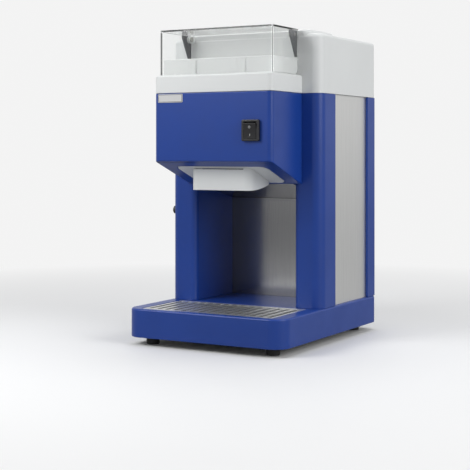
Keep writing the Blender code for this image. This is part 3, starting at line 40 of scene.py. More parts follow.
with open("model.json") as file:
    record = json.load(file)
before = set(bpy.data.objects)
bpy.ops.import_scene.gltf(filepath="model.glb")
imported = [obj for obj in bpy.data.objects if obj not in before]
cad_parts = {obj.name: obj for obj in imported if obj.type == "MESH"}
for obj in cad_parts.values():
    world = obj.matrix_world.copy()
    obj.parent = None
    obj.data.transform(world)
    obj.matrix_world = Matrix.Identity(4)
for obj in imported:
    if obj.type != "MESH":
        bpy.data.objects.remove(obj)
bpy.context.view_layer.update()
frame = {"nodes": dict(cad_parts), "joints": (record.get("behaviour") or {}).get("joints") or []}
import json
import math

import bmesh
import bpy
from mathutils import Vector

NODES = frame["nodes"]
TOUCH = 0.00005                 # how near a point counts as lying on a plane
HAIRLINE = 0.0003               # gap between two casings, and how far joined blocks overlap
CASE_EDGE = 0.0006              # small round on the edges of moulded cases
PALE = (0.90, 0.90, 0.90, 1)    # colour of the background


def length(thing, measure, value):
    """A size that a user can change, in metres, such as the radius of a corner."""
    return bpy.props.FloatProperty(name=f"{thing.capitalize()}, {measure}",
                                   description=f"{measure.capitalize()} of the {thing}",
                                   default=value, unit="LENGTH", precision=4, min=0.0)


def colour(name, value, text):
    """A surface colour that a user can change."""
    return bpy.props.FloatVectorProperty(name=name, description=text, default=value, subtype="COLOR",
                                         size=3, min=0.0, max=1.0)


class ShaverSizes(bpy.types.PropertyGroup):
    base_front_round: length("base's front corners", "radius", 0.025)
    base_rear_round: length("base's rear corners", "radius", 0.016)
    base_edge: length("base's upper edge", "rounding", 0.0030)
    column_round: length("column's front corners", "radius", 0.0166)
    pillar_inner_round: length("corners beside the bay", "radius", 0.010)
    sheet: length("painted sheet", "thickness", 0.0020)
    side_lip: length("step beside a side panel", "depth", 0.0040)
    rear_round: length("rear frame's corners", "radius", 0.010)
    back_window: length("frame round the back cover", "width", 0.020)
    head_round: length("head's front corners", "radius", 0.008)
    head_edge: length("head's lower edges", "rounding", 0.0015)
    spout_round: length("spout's front corners", "radius", 0.012)
    spout_wall: length("spout's wall", "thickness", 0.0025)
    band_edge: length("hopper band's upper edge", "rounding", 0.0030)
    collar_round: length("collar's corners", "radius", 0.0035)
    collar_edge: length("collar's upper edge", "rounding", 0.0015)
    guard_wall: length("clear guard", "thickness", 0.0025)
    guard_round: length("guard's front corners", "radius", 0.0010)
    cover_round: length("top cover's upper edges", "rounding", 0.006)
    cover_rear_round: length("top cover's rear corners", "radius", 0.010)
    well_depth: length("well that the grate lies in", "depth", 0.0040)
    grate_corner: length("grate's corners", "radius", 0.002)
    small_edge: length("edges of folded sheet", "rounding", 0.0005)
    panel_tuck: length("side panel's hidden strip", "width", 0.006)
    badge_left_side: length("badge's outer end", "distance from the middle", 0.0942)
    badge_bottom: length("badge's lower edge", "height", 0.3689)
    case_wall: length("wall of head, hopper and top cover", "thickness", 0.003)
    head_front_bottom: length("head's lower front edge", "height", 0.280)
    hatch_half: length("opening under the head", "half width", 0.079)
    hatch_rear: length("opening's rear edge", "distance from the middle", 0.048)
    hatch_front: length("opening's front edge", "distance from the middle", 0.118)
    spout_rise: length("spout's lower edge", "rise to the rear", 0.0087)
    band_top: length("hopper band's top", "height", 0.4107)
    collar_inset: length("collar's step at each side", "width", 0.007)
    collar_setback: length("collar's step in front", "depth", 0.0158)
    spout_slot: length("slot over the spout's face", "height", 0.0014)
    spout_lip: length("lip between slot and head", "height", 0.0018)
    lining_crease: length("fold in the bay's lining", "height", 0.2175)
    lining_sheet: length("bay's steel lining", "thickness", 0.0012)
    hem_height: length("hem under the lining's fold", "height", 0.0034)
    throat: length("way down into the drum", "radius", 0.072)
    guard_heel: length("guard's lower rear corners", "radius", 0.009)
    hump_rise: length("cover's raised middle", "height", 0.006)
    hump_half: length("cover's raised middle", "half width", 0.116)
    hump_rear: length("raised middle's rear edge", "distance from the middle", 0.046)
    hump_edge: length("raised middle's edges", "rounding", 0.003)
    rocker_height: length("rocker", "height", 0.023)
    rocker_width: length("rocker", "width", 0.021)
    rocker_out: length("rocker's raised ends", "reach from the pivot", 0.0075)
    rocker_dish: length("fold between the rocker's faces", "depth", 0.0012)
    rocker_back: length("rocker's rear", "reach from the pivot", 0.004)
    rocker_tilt: bpy.props.FloatProperty(name="Rocker tilt", description="Tilt of the rocker at rest",
                                         default=math.radians(8), subtype="ANGLE")
    badge_width: length("bare badge on the head", "width", 0.0439)
    badge_height: length("bare badge on the head", "height", 0.0128)


class ShaverColours(bpy.types.PropertyGroup):
    paint: colour("Paint", (0.010, 0.050, 0.290), "Satin enamel of the casing")
    white: colour("White plastic", (0.72, 0.735, 0.73), "Hopper, spout and top cover")
    steel: colour("Brushed steel", (0.84, 0.84, 0.825), "Side panels and drip grate")
    polished: colour("Polished steel", (0.36, 0.36, 0.365), "Lining of the bay under the head")
    clear: colour("Clear plastic", (0.985, 0.992, 0.99), "Hinged guard of the hopper")
    black: colour("Black plastic", (0.013, 0.013, 0.015), "Switch, rocker, badge border and gland")
    grey: colour("Dark grey plastic", (0.060, 0.062, 0.068), "Lid arms and fan")
    rubber: colour("Rubber", (0.018, 0.018, 0.018), "Feet, seal and belt")
    zinc: colour("Zinc plate", (0.47, 0.47, 0.44), "Hidden sheet metal and fasteners")
    cast: colour("Cast metal", (0.36, 0.365, 0.37), "Motor bells, pulleys and bearing housing")
    mark: colour("Mark", (0.62, 0.62, 0.62), "Marks on the rocker, and the bare badge")


class ShaverView(bpy.types.PropertyGroup):
    place: bpy.props.FloatVectorProperty(
        name="Camera place", description="Where the camera stands, in metres",
        default=(0.9088, -1.6662, 0.2959), subtype="TRANSLATION", unit="LENGTH")
    turn: bpy.props.FloatProperty(
        name="Camera turn", description="The camera's turn about the vertical",
        default=math.radians(29.653), subtype="ANGLE")
    lens: bpy.props.FloatProperty(
        name="Lens", description="Focal length in millimetres on a 36 mm sensor",
        default=91.21, min=1.0)
    shift: bpy.props.FloatProperty(
        name="Shift", description="How far the picture is moved down, as a share of its width",
        default=-0.1796)


def sizes():
    return bpy.context.scene.shaver_sizes


def colours():
    return bpy.context.scene.shaver_colours


def activate(piece):
    """Makes one object the only selected and the active one."""
    bpy.ops.object.select_all(action="DESELECT")
    piece.select_set(True)
    bpy.context.view_layer.objects.active = piece


class Editing:
    """Edit mode on one piece, for the length of a with block."""

    def __init__(self, piece, picked="DESELECT"):
        self.piece = piece
        self.picked = picked

    def __enter__(self):
        activate(self.piece)
        bpy.ops.object.mode_set(mode="EDIT")
        bpy.ops.mesh.select_all(action=self.picked)

    def __exit__(self, *_):
        bpy.ops.object.mode_set(mode="OBJECT")


def pick(piece, kind, test):
    """Selects the faces or edges of a piece in edit mode that pass a test, and counts them."""
    bpy.ops.mesh.select_mode(type={"faces": "FACE", "edges": "EDGE"}[kind])
    bpy.ops.mesh.select_all(action="DESELECT")
    cage = bmesh.from_edit_mesh(piece.data)
    found = [item for item in getattr(cage, kind) if test(item)]
    for item in found:
        item.select_set(True)
    bmesh.update_edit_mesh(piece.data)
    return len(found)


def on_plane(axis, value):
    """A test for edges and faces that lie wholly on a plane across an axis."""
    def test(item):
        return all(abs(vert.co[axis] - value) < TOUCH for vert in item.verts)
    return test


def along(axis, **at):
    """A test for edges that run along one axis, at the given x, y or z."""
    def test(edge):
        first, second = (vert.co for vert in edge.verts)
        others = [k for k in range(3) if k != axis]
        if any(abs(first[k] - second[k]) > TOUCH for k in others):
            return False
        return all(abs(first["xyz".index(k)] - v) < TOUCH for k, v in at.items())
    return test


def round_edges(piece, test, radius, segments):
    """Bevels the edges that pass a test to a round corner."""
    if radius > 0 and pick(piece, "edges", test):
        bpy.ops.mesh.bevel(offset=radius, segments=segments, profile=0.5, affect="EDGES")


def round_all(piece, *rounds):
    """Rounds edges in edit mode; each round is a test, a radius and a number of segments."""
    with Editing(piece):
        for test, radius, segments in rounds:
            round_edges(piece, test, radius, segments)


def new_object(name, add, **values):
    """Adds an object with everything else deselected, and names it."""
    bpy.ops.object.select_all(action="DESELECT")
    add(**values)
    made = bpy.context.object
    made.name = name
    return made


def settle(piece):
    """Puts a piece's place, turn and scale into its mesh."""
    activate(piece)
    bpy.ops.object.transform_apply(location=True, rotation=True, scale=True)
    return piece


def add_block(name, low, high):
    """A cube at its size and place, with its place in its mesh."""
    low, high = Vector(low), Vector(high)
    block = new_object(name, bpy.ops.mesh.primitive_cube_add, size=1, location=(low + high) / 2)
    block.scale = high - low
    return settle(block)


def rounded_block(name, low, high, front=0.0, rear=0.0, top=0.0, bottom=0.0, segments=10):
    """A block with round upright corners and round upper and lower edges."""
    block = add_block(name, low, high)
    round_all(block, (along(2, y=low[1]), front, segments), (along(2, y=high[1]), rear, segments),
              (on_plane(2, high[2]), top, 4), (on_plane(2, low[2]), bottom, 4))
    return block


def add_cylinder(name, radius, start, end, sides):
    """A cylinder between two points, with its place in its mesh."""
    start, end = Vector(start), Vector(end)
    rod = new_object(name, bpy.ops.mesh.primitive_cylinder_add, vertices=sides, radius=radius,
                     depth=(end - start).length, location=(start + end) / 2)
    rod.rotation_euler = (end - start).to_track_quat("Z", "Y").to_euler()
    return settle(rod)


def apply_modifier(piece, kind, **values):
    """Adds a modifier, sets it and applies it."""
    activate(piece)
    bpy.ops.object.modifier_add(type=kind)
    step = piece.modifiers[-1]
    for name, value in values.items():
        setattr(step, name, value)
    bpy.ops.object.modifier_apply(modifier=step.name)


def carve(piece, *tools, operation="DIFFERENCE"):
    """Cuts tools out of a piece, or joins them to it, and removes the tools."""
    for tool in tools:
        apply_modifier(piece, "BOOLEAN", operation=operation, solver="EXACT", object=tool)
        if not piece.data.polygons:
            raise RuntimeError(f"{tool.name} left nothing of {piece.name}")
        bpy.data.objects.remove(tool)


def soften(piece, width, segments=2, angle=55):
    """Gives every edge of a piece that is sharper than an angle a small round."""
    apply_modifier(piece, "BEVEL", width=width, segments=segments, limit_method="ANGLE",
                   angle_limit=math.radians(angle), use_clamp_overlap=True)


def copy_of(piece, name, move=(0, 0, 0), mirror=False):
    """A second piece with its own mesh, moved, or mirrored across the middle."""
    activate(piece)
    bpy.ops.object.duplicate(linked=False)
    twin = bpy.context.object
    twin.name = name
    twin.location = move
    if mirror:
        twin.scale = (-1, 1, 1)
    settle(twin)
    if mirror:
        with Editing(twin, "SELECT"):
            bpy.ops.mesh.normals_make_consistent(inside=False)
    return twin


def slice_off(piece, point, normal):
    """Cuts away what lies beyond a plane, and closes the cut."""
    with Editing(piece, "SELECT"):
        bpy.ops.mesh.bisect(plane_co=point, plane_no=normal, use_fill=True, clear_outer=True)


def corners(name):
    """The low and high corner of a CAD node."""
    low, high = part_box(name)
    return Vector(low), Vector(high)


def around(node, grow, z0, z1):
    """The corners of a box round a node in plan, grown by a margin, between two heights."""
    low, high = corners(node)
    return (low.x - grow, low.y - grow, z0), (high.x + grow, high.y + grow, z1)


def finish_piece(piece, body, slot, *nodes, look=None):
    """Shades a piece, gives it its slot's material or another, and makes it ride on its body."""
    activate(piece)
    bpy.ops.object.shade_smooth_by_angle(angle=math.radians(35))
    apply_modifier(piece, "WEIGHTED_NORMAL", keep_sharp=True, weight=60)
    piece.data.materials.clear()
    piece.data.materials.append(LOOKS[look or SLOT_LOOKS[slot]])
    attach(piece, body)
    if nodes:
        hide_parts(*nodes)


def add_node(tree, kind, inputs=None, **values):
    """Adds a shader node, sets its properties and then its inputs by name."""
    made = tree.nodes.new(kind)
    for name, value in values.items():
        setattr(made, name, value)
    for name, value in (inputs or {}).items():
        made.inputs[name].default_value = value
    return made


def new_group(name, inputs, outputs):
    """A shader node group, with the sockets that it is given and those that it fills."""
    group = bpy.data.node_groups.new(name, "ShaderNodeTree")
    for socket, kind, value in inputs:
        made = group.interface.new_socket(socket, in_out="INPUT", socket_type=kind)
        if value is not None:
            made.default_value = value
    for socket, kind in outputs:
        group.interface.new_socket(socket, in_out="OUTPUT", socket_type=kind)
    given = group.nodes.new("NodeGroupInput").outputs
    return group, given, group.nodes.new("NodeGroupOutput").inputs


def spread(tree, source, limits, target):
    """Maps a value from or onto a range and feeds it to a socket."""
    made = add_node(tree, "ShaderNodeMapRange", limits)
    tree.links.new(source, made.inputs["Value"])
    tree.links.new(made.outputs["Result"], target)


def noise_in(group, given, settings):
    """A noise on a group's coordinates."""
    made = add_node(group, "ShaderNodeTexNoise", settings)
    group.links.new(given["Vector"], made.inputs["Vector"])
    return made


def bumps_from(group, noise, given, distance, target):
    """Turns a noise into bumps of the group's depth, as a normal."""
    bump = add_node(group, "ShaderNodeBump", {"Distance": distance})
    group.links.new(given["Grain Depth"], bump.inputs["Strength"])
    group.links.new(noise.outputs[0], bump.inputs["Height"])
    group.links.new(bump.outputs["Normal"], target)


def surface_grain():
    """Fine bumps and slow changes of gloss, for moulded plastic, enamel and rubber."""
    group, given, made = new_group(
        "Surface grain",
        [("Vector", "NodeSocketVector", None), ("Grain Scale", "NodeSocketFloat", 900.0),
         ("Grain Depth", "NodeSocketFloat", 0.1), ("Patch Scale", "NodeSocketFloat", 14.0)],
        [("Normal", "NodeSocketVector"), ("Patches", "NodeSocketFloat")])
    grain = noise_in(group, given, {"Detail": 2.0, "Roughness": 0.55})
    group.links.new(given["Grain Scale"], grain.inputs["Scale"])
    bumps_from(group, grain, given, 0.0004, made["Normal"])
    patch = noise_in(group, given, {"Detail": 4.0, "Roughness": 0.6})
    group.links.new(given["Patch Scale"], patch.inputs["Scale"])
    spread(group, patch.outputs[0], {"From Min": 0.35, "From Max": 0.65}, made["Patches"])


def brush_grain():
    """Long fine streaks, as a sanding belt leaves on sheet steel."""
    group, given, made = new_group(
        "Brush grain",
        [("Vector", "NodeSocketVector", None), ("Grain Depth", "NodeSocketFloat", 0.1)],
        [("Normal", "NodeSocketVector"), ("Streaks", "NodeSocketFloat")])
    fine = noise_in(group, given, {"Scale": 1.0, "Detail": 3.0, "Roughness": 0.7})
    bumps_from(group, fine, given, 0.0003, made["Normal"])
    spread(group, fine.outputs[0], {"From Min": 0.3, "From Max": 0.7}, made["Streaks"])


def base_material(name, tint, roughness, metallic=0.0, **uniform):
    """A material with one Principled surface; gives it, its tree, its surface and Object coordinates."""
    look = bpy.data.materials.new(name)
    look.use_nodes = True
    look.diffuse_color = (*tint, 1)
    tree = look.node_tree
    surface = tree.nodes["Principled BSDF"].inputs
    surface["Base Color"].default_value = (*tint, 1)
    surface["Roughness"].default_value = roughness
    surface["Metallic"].default_value = metallic
    for socket, value in uniform.items():
        surface[socket.replace("_", " ").title().replace("Ior", "IOR")].default_value = value
    return look, tree, surface, add_node(tree, "ShaderNodeTexCoord").outputs


def place_grain(tree, group, source, inputs=None):
    """Places a grain group in a material on the given coordinates, with its own values."""
    grain = add_node(tree, "ShaderNodeGroup", inputs, node_tree=bpy.data.node_groups[group])
    tree.links.new(source, grain.inputs["Vector"])
    return grain.outputs


def tinted(tree, source, first, second, target):
    """Mixes two colours by a mask and feeds the result to a socket."""
    mix = add_node(tree, "ShaderNodeMix", {6: (*first, 1), 7: (*second, 1)}, data_type="RGBA")
    tree.links.new(source, mix.inputs[0])
    tree.links.new(mix.outputs[2], target)


def blend(tree, share, first, second, target):
    """Mixes two surfaces by a share and feeds the result to a socket."""
    mix = add_node(tree, "ShaderNodeMixShader")
    for source, socket in zip((share, first, second), mix.inputs):
        tree.links.new(source, socket)
    tree.links.new(mix.outputs[0], target)


def reckon(tree, operation, *values):
    """A Math node on sockets and numbers; gives its output."""
    made = add_node(tree, "ShaderNodeMath", operation=operation)
    for value, socket in zip(values, made.inputs):
        if isinstance(value, bpy.types.NodeSocket):
            tree.links.new(value, socket)
        else:
            socket.default_value = value
    return made.outputs[0]


def split(tree, source):
    """The X, Y and Z of a vector."""
    made = add_node(tree, "ShaderNodeSeparateXYZ")
    tree.links.new(source, made.inputs[0])
    return made.outputs


def shade_of(tint, amount):
    """A tint made darker or lighter by a factor."""
    return [min(part * amount, 1.0) for part in tint]


def weather(tree, surface, grain, mask, tint, darker, roughness, change):
    """Lets a grain's bumps into a surface's normal, and one of its masks into gloss and colour."""
    tree.links.new(grain["Normal"], surface["Normal"])
    spread(tree, grain[mask], {"To Min": roughness - change, "To Max": roughness + change},
           surface["Roughness"])
    tinted(tree, grain[mask], tint, shade_of(tint, darker), surface["Base Color"])


def moulded(name, tint, roughness, scale, depth, change=0.05, darker=0.94, **uniform):
    """Plastic, enamel or rubber with a fine skin and slightly uneven gloss."""
    look, tree, surface, place = base_material(name, tint, roughness, **uniform)
    grain = place_grain(tree, "Surface grain", place["Object"],
                        {"Grain Scale": scale, "Grain Depth": depth})
    weather(tree, surface, grain, "Patches", tint, darker, roughness, change)
    return look


def brushed(name, tint, roughness, stretch, depth, change=0.06, **uniform):
    """Sheet metal with a directional grain; stretch is the streaks' fineness along x, y and z."""
    look, tree, surface, place = base_material(name, tint, roughness, 1.0, **uniform)
    turn = add_node(tree, "ShaderNodeMapping", {"Scale": stretch})
    tree.links.new(place["Object"], turn.inputs["Vector"])
    grain = place_grain(tree, "Brush grain", turn.outputs["Vector"], {"Grain Depth": depth})
    weather(tree, surface, grain, "Streaks", tint, 0.9, roughness, change)
    return look


def clear_plastic(name, tint, node):
    """Clear sheet with faint wiping marks in its gloss, painted shade darkening the edges of its top
    sheet, and a painted glow at its two front corners.
    """
    look, tree, surface, place = base_material(name, tint, 0.03, transmission_weight=1.0, ior=1.36)
    grain = place_grain(tree, "Surface grain", place["Object"],
                        {"Grain Scale": 60, "Grain Depth": 0.01, "Patch Scale": 40})
    spread(tree, grain["Patches"], {"To Min": 0.015, "To Max": 0.06}, surface["Roughness"])
    painted_shade_and_glow_tint = shade_of(tint, 0.30)
    # painted shade: the upright edges of the top sheet get a darker base colour
    edge = top_edge(tree, place, corners(node)[1].z - sizes().guard_wall)
    tinted(tree, edge, tint, painted_shade_and_glow_tint, surface["Base Color"])
    # painted glow: the two front corners emit a dim light although the guard is no lamp
    surface["Emission Strength"].default_value = 1.0
    tinted(tree, front_corners(tree, place, node), (0, 0, 0), painted_shade_and_glow_tint, surface["Emission Color"])
    return look


def front_corners(tree, place, node):
    """A mask of a node's two upright front corners, where the clear sheet gets a painted glow in place
    of the light that it gathers.
    """
    low, high = corners(node)
    reach = sizes().guard_wall
    spot = split(tree, place["Object"])
    side = reckon(tree, "GREATER_THAN", reckon(tree, "ABSOLUTE", spot["X"]), high.x - reach)
    return reckon(tree, "MULTIPLY", side, reckon(tree, "LESS_THAN", spot["Y"], low.y + reach))


def top_edge(tree, place, height):
    """A mask of the upright faces over a height, which are the top sheet's edges, where the clear sheet
    is darkened as painted shade.
    """
    upright = 0.6    # the most that the normal of an upright face points up or down
    above = reckon(tree, "GREATER_THAN", split(tree, place["Object"])["Z"], height)
    tilt = reckon(tree, "ABSOLUTE", split(tree, place["Normal"])["Z"])
    return reckon(tree, "MULTIPLY", above, reckon(tree, "LESS_THAN", tilt, upright))


SLOT_LOOKS = {
    "blue_paint": "paint", "white_plastic": "white", "brushed_steel": "steel",
    "polished_steel": "polished", "black_plastic": "black", "dark_plastic": "grey",
    "rubber": "rubber", "zinc_steel": "zinc", "cast_metal": "cast", "dark_metal": "dark metal",
    "clear_plastic": "clear",
}
LOOKS = {}


class SHAVER_OT_materials(bpy.types.Operator):
    """Makes the materials and puts one on every node of the frame"""
    bl_idname = "shaver.materials"
    bl_label = "Materials"

    def execute(self, context):
        surface_grain()
        brush_grain()
        self.plastics(colours())
        self.metals(colours())
        for node in NODES.values():
            holder = node.material_slots[0]
            holder.material = LOOKS[SLOT_LOOKS[holder.material.name]]
        # painted shade: the drip tray gets a darkened steel in place of the shade under the grate
        NODES["drip_tray"].material_slots[0].material = LOOKS["tray steel"]
        return {"FINISHED"}

    def plastics(self, tone):
        """Enamel, plastics and rubber: tint, roughness, fineness and depth of the skin."""
        LOOKS["paint"] = moulded("Blue enamel", tone.paint, 0.34, 320, 0.018, 0.03, 0.9,
                                 coat_weight=0.12, coat_roughness=0.2, specular_ior_level=0.35)
        LOOKS["white"] = moulded("White plastic", tone.white, 0.38, 1400, 0.05, 0.04, 0.985)
        LOOKS["black"] = moulded("Black plastic", tone.black, 0.35, 1600, 0.05)
        LOOKS["grey"] = moulded("Dark grey plastic", tone.grey, 0.42, 1600, 0.06)
        LOOKS["rubber"] = moulded("Rubber", tone.rubber, 0.72, 1100, 0.16, 0.06)
        LOOKS["mark"] = moulded("Mark", tone.mark, 0.5, 1600, 0.02)
        LOOKS["clear"] = clear_plastic("Clear plastic", tone.clear, "lid_guard")

    def metals(self, tone):
        """Sheet steel with its streaks, the tray's steel darkened as painted shade, and the hidden zinc,
        cast and dark metal.
        """
        LOOKS["steel"] = brushed("Brushed steel", tone.steel, 0.42, (900, 900, 12), 0.05,
                                 anisotropic=0.3)
        LOOKS["grate steel"] = brushed("Grate steel", tone.steel, 0.40, (12, 700, 700), 0.03)
        # painted shade: the tray's steel is darkened to stand in for the shade in the recess under the
        # grate
        LOOKS["tray steel"] = brushed("Tray steel", shade_of(tone.steel, 0.28), 0.5, (700, 700, 20),
                                      0.03)
        LOOKS["polished"] = brushed("Polished steel", tone.polished, 0.18, (700, 700, 14), 0.03, 0.03)
        LOOKS["zinc"] = moulded("Zinc plate", tone.zinc, 0.40, 260, 0.03, 0.08, 0.85, metallic=1.0)
        LOOKS["cast"] = moulded("Cast metal", tone.cast, 0.52, 420, 0.2, 0.07, 0.85, metallic=1.0)
        LOOKS["dark metal"] = moulded("Dark metal", shade_of(tone.grey, 1.4), 0.45, 500, 0.1, 0.06,
                                      metallic=0.8)


class SHAVER_OT_base(bpy.types.Operator):
    """Models the painted base with the well for its grate, and the four feet"""
    bl_idname = "shaver.base"
    bl_label = "Base and feet"

    def execute(self, context):
        size = sizes()
        wall, corner = size.sheet, size.grate_corner
        play, lower_edge = 0.0007, 0.001
        low, high = corners("base_shell")
        base = rounded_block("base", low, high, size.base_front_round, size.base_rear_round,
                             size.base_edge, lower_edge)
        inside = rounded_block("base_inside", low + Vector((wall, wall, -wall)),
                               high - Vector((wall, wall, wall)),
                               size.base_front_round - wall, size.base_rear_round - wall)
        carve(base, inside)
        floor = high.z - size.well_depth
        well = rounded_block("well", *around("drip_grate", play + wall, floor + HAIRLINE,
                                             high.z - wall / 2), corner + wall, corner + wall)
        carve(base, well, operation="UNION")
        carve(base, rounded_block("well_room", *around("drip_grate", play, low.z, high.z + wall),
                                  corner + play, corner + play))
        soften(base, size.small_edge, angle=50)
        finish_piece(base, "housing", "blue_paint", "base_shell")
        self.feet()
        return {"FINISHED"}

    def feet(self):
        """Rubber feet with a round rim and a hollow below, made once and copied."""
        rim, brow, rim_width, hollow = 0.0015, 0.0006, 0.0045, 0.003
        low, high = corners("foot_front_left")
        middle = (low + high) / 2
        foot = add_cylinder("foot_front_left_pad", (high.x - low.x) / 2, (middle.x, middle.y, low.z),
                            (middle.x, middle.y, high.z), 64)
        with Editing(foot):
            round_edges(foot, on_plane(2, low.z), rim, 4)
            pick(foot, "faces", on_plane(2, low.z))
            bpy.ops.mesh.inset(thickness=rim_width)
            bpy.ops.mesh.extrude_region_move(TRANSFORM_OT_translate={"value": (0, 0, hollow)})
            round_edges(foot, on_plane(2, high.z), brow, 2)
        for name in ("foot_front_right", "foot_rear_left", "foot_rear_right"):
            other = copy_of(foot, name + "_pad", corners(name)[0] - low)
            finish_piece(other, "housing", "rubber", name)
        finish_piece(foot, "housing", "rubber", "foot_front_left")


class SHAVER_OT_grate(bpy.types.Operator):
    """Models the slotted drip grate"""
    bl_idname = "shaver.grate"
    bl_label = "Drip grate"

    def execute(self, context):
        corner = sizes().grate_corner
        upper_edge, lower_edge, slot_edge = 0.0006, 0.0004, 0.0004
        count, pitch, width, margin, through = 15, 0.0146, 0.0066, 0.0077, 0.001
        almost_half = width * 0.499
        low, high = corners("drip_grate")
        grate = rounded_block("grate", low, high, corner, corner, upper_edge, lower_edge, 6)
        first = rounded_block("slot", (-width / 2, low.y + margin, low.z - through),
                              (width / 2, high.y - margin, high.z + through),
                              almost_half, almost_half)
        for k in range(1, count):
            step = (k + 1) // 2 * pitch * (1 if k % 2 else -1)
            carve(grate, copy_of(first, f"slot_{k}", (step, 0, 0)))
        carve(grate, first)
        soften(grate, slot_edge, angle=60)
        finish_piece(grate, "grate", "brushed_steel", "drip_grate", look="grate steel")
        return {"FINISHED"}


class SHAVER_OT_pillars(bpy.types.Operator):
    """Models the two painted casings beside the bay"""
    bl_idname = "shaver.pillars"
    bl_label = "Pillars"

    def execute(self, context):
        size = sizes()
        wall, inner = size.sheet, size.pillar_inner_round
        reach = 4 * wall
        low, high = corners("pillar_right")
        strip = corners("side_panel_right")[0].y + size.panel_tuck
        pillar = add_block("pillar_casing_right", low, (high.x, strip, high.z))
        inside = add_block("pillar_inside", (low.x + wall, low.y + wall, low.z - reach),
                           (high.x - wall, strip - wall, high.z + reach))
        round_all(pillar, (along(2, x=high.x, y=low.y), size.column_round, 12),
                  (along(2, x=low.x, y=low.y), inner, 10))
        round_all(inside, (along(2, x=high.x - wall, y=low.y + wall), size.column_round - wall, 12),
                  (along(2, x=low.x + wall, y=low.y + wall), inner - wall, 10))
        back = add_block("pillar_back", (low.x + wall, strip - 2 * wall, low.z - reach),
                         (high.x - size.side_lip, strip + reach, high.z + reach))
        carve(pillar, inside, back)
        carve(pillar, add_block("bay_wall", (low.x, strip - 2 * wall, low.z),
                                (low.x + wall, high.y, high.z)), operation="UNION")
        deck = corners("deck_plate")[0].z - HAIRLINE
        carve(pillar, add_block("deck_room", (low.x - wall, low.y + wall + HAIRLINE, deck),
                                (low.x + wall + inner, high.y + wall, high.z + wall)))
        soften(pillar, size.small_edge, angle=60)
        other = copy_of(pillar, "pillar_casing_left", mirror=True)
        finish_piece(pillar, "housing", "blue_paint", "pillar_right")
        finish_piece(other, "housing", "blue_paint", "pillar_left")
        return {"FINISHED"}


class SHAVER_OT_lining_hem(bpy.types.Operator):
    """Models the hem under the fold of the bay's steel lining"""
    bl_idname = "shaver.lining_hem"
    bl_label = "Lining hem"

    def execute(self, context):
        size = sizes()
        upper_edge, lower_edge, play = 0.0004, 0.0005, 2 * TOUCH
        low, high = corners("bay_liner")
        face = high.y - size.lining_sheet
        top = size.lining_crease - play
        hem = rounded_block("lining_hem", (low.x, face - size.lining_sheet, top - size.hem_height),
                            (high.x, face - play, top), top=upper_edge, bottom=lower_edge)
        finish_piece(hem, "housing", "polished_steel")
        return {"FINISHED"}


class SHAVER_OT_rear_frame(bpy.types.Operator):
    """Models the painted frame round the back, and the screws of its cover"""
    bl_idname = "shaver.rear_frame"
    bl_label = "Rear frame"

    def execute(self, context):
        size = sizes()
        wall, lip, margin, corner = size.sheet, size.side_lip, size.back_window, size.rear_round
        reach = 4 * wall
        low, high = corners("rear_frame")
        casing = add_block("rear_casing", low, high)
        inside = add_block("rear_inside", (low.x + wall, low.y + wall, low.z - reach),
                           (high.x - wall, high.y - wall, high.z + reach))
        round_all(casing, (along(2, y=high.y), corner, 10))
        round_all(inside, (along(2, y=high.y - wall), corner - wall, 10))
        mouth = add_block("rear_mouth", (low.x + lip, low.y - reach, low.z - reach),
                          (high.x - lip, low.y + 2 * wall, high.z + reach))
        window = add_block("back_window",
                           (low.x + margin, high.y - 2 * wall, low.z - HAIRLINE + margin),
                           (high.x - margin, high.y + wall, high.z - margin))
        round_all(window, (along(1), corner, 10))
        carve(casing, inside, mouth, window)
        soften(casing, size.small_edge, angle=60)
        finish_piece(casing, "housing", "blue_paint", "rear_frame")
        self.screws(low, high, margin)
        return {"FINISHED"}

    def screws(self, low, high, margin):
        """Flat cross head screws round the back window, made once and copied."""
        radius, sunk, raised, edge = 0.0035, 0.0008, 0.00045, 0.0006
        arm, half_width, depth, through = 0.0022, 0.0005, 0.0004, 0.002
        x, face, end = high.x - margin * 0.7, high.y, margin * 0.6
        heights = (low.z + end, (low.z + high.z) / 2, high.z - end)
        head = add_cylinder("back_screw_1", radius, (x, face - sunk, heights[0]),
                            (x, face + raised, heights[0]), 40)
        round_all(head, (on_plane(1, face + raised), edge, 3))
        for long, tall in ((arm, half_width), (half_width, arm)):
            carve(head, add_block("recess", (x - long, face - depth, heights[0] - tall),
                                  (x + long, face + through, heights[0] + tall)))
        places = [(side, height) for side in (0, -2 * x) for height in heights]
        for number, (side, height) in enumerate(places[1:], 2):
            screw = copy_of(head, f"back_screw_{number}", (side, 0, height - heights[0]))
            finish_piece(screw, "housing", "zinc_steel")
        finish_piece(head, "housing", "zinc_steel")


def head_slope():
    """How much the head's underside falls for each step to the rear."""
    low, high = corners("head_shell")
    return (sizes().head_front_bottom - low.z) / (high.y - low.y)


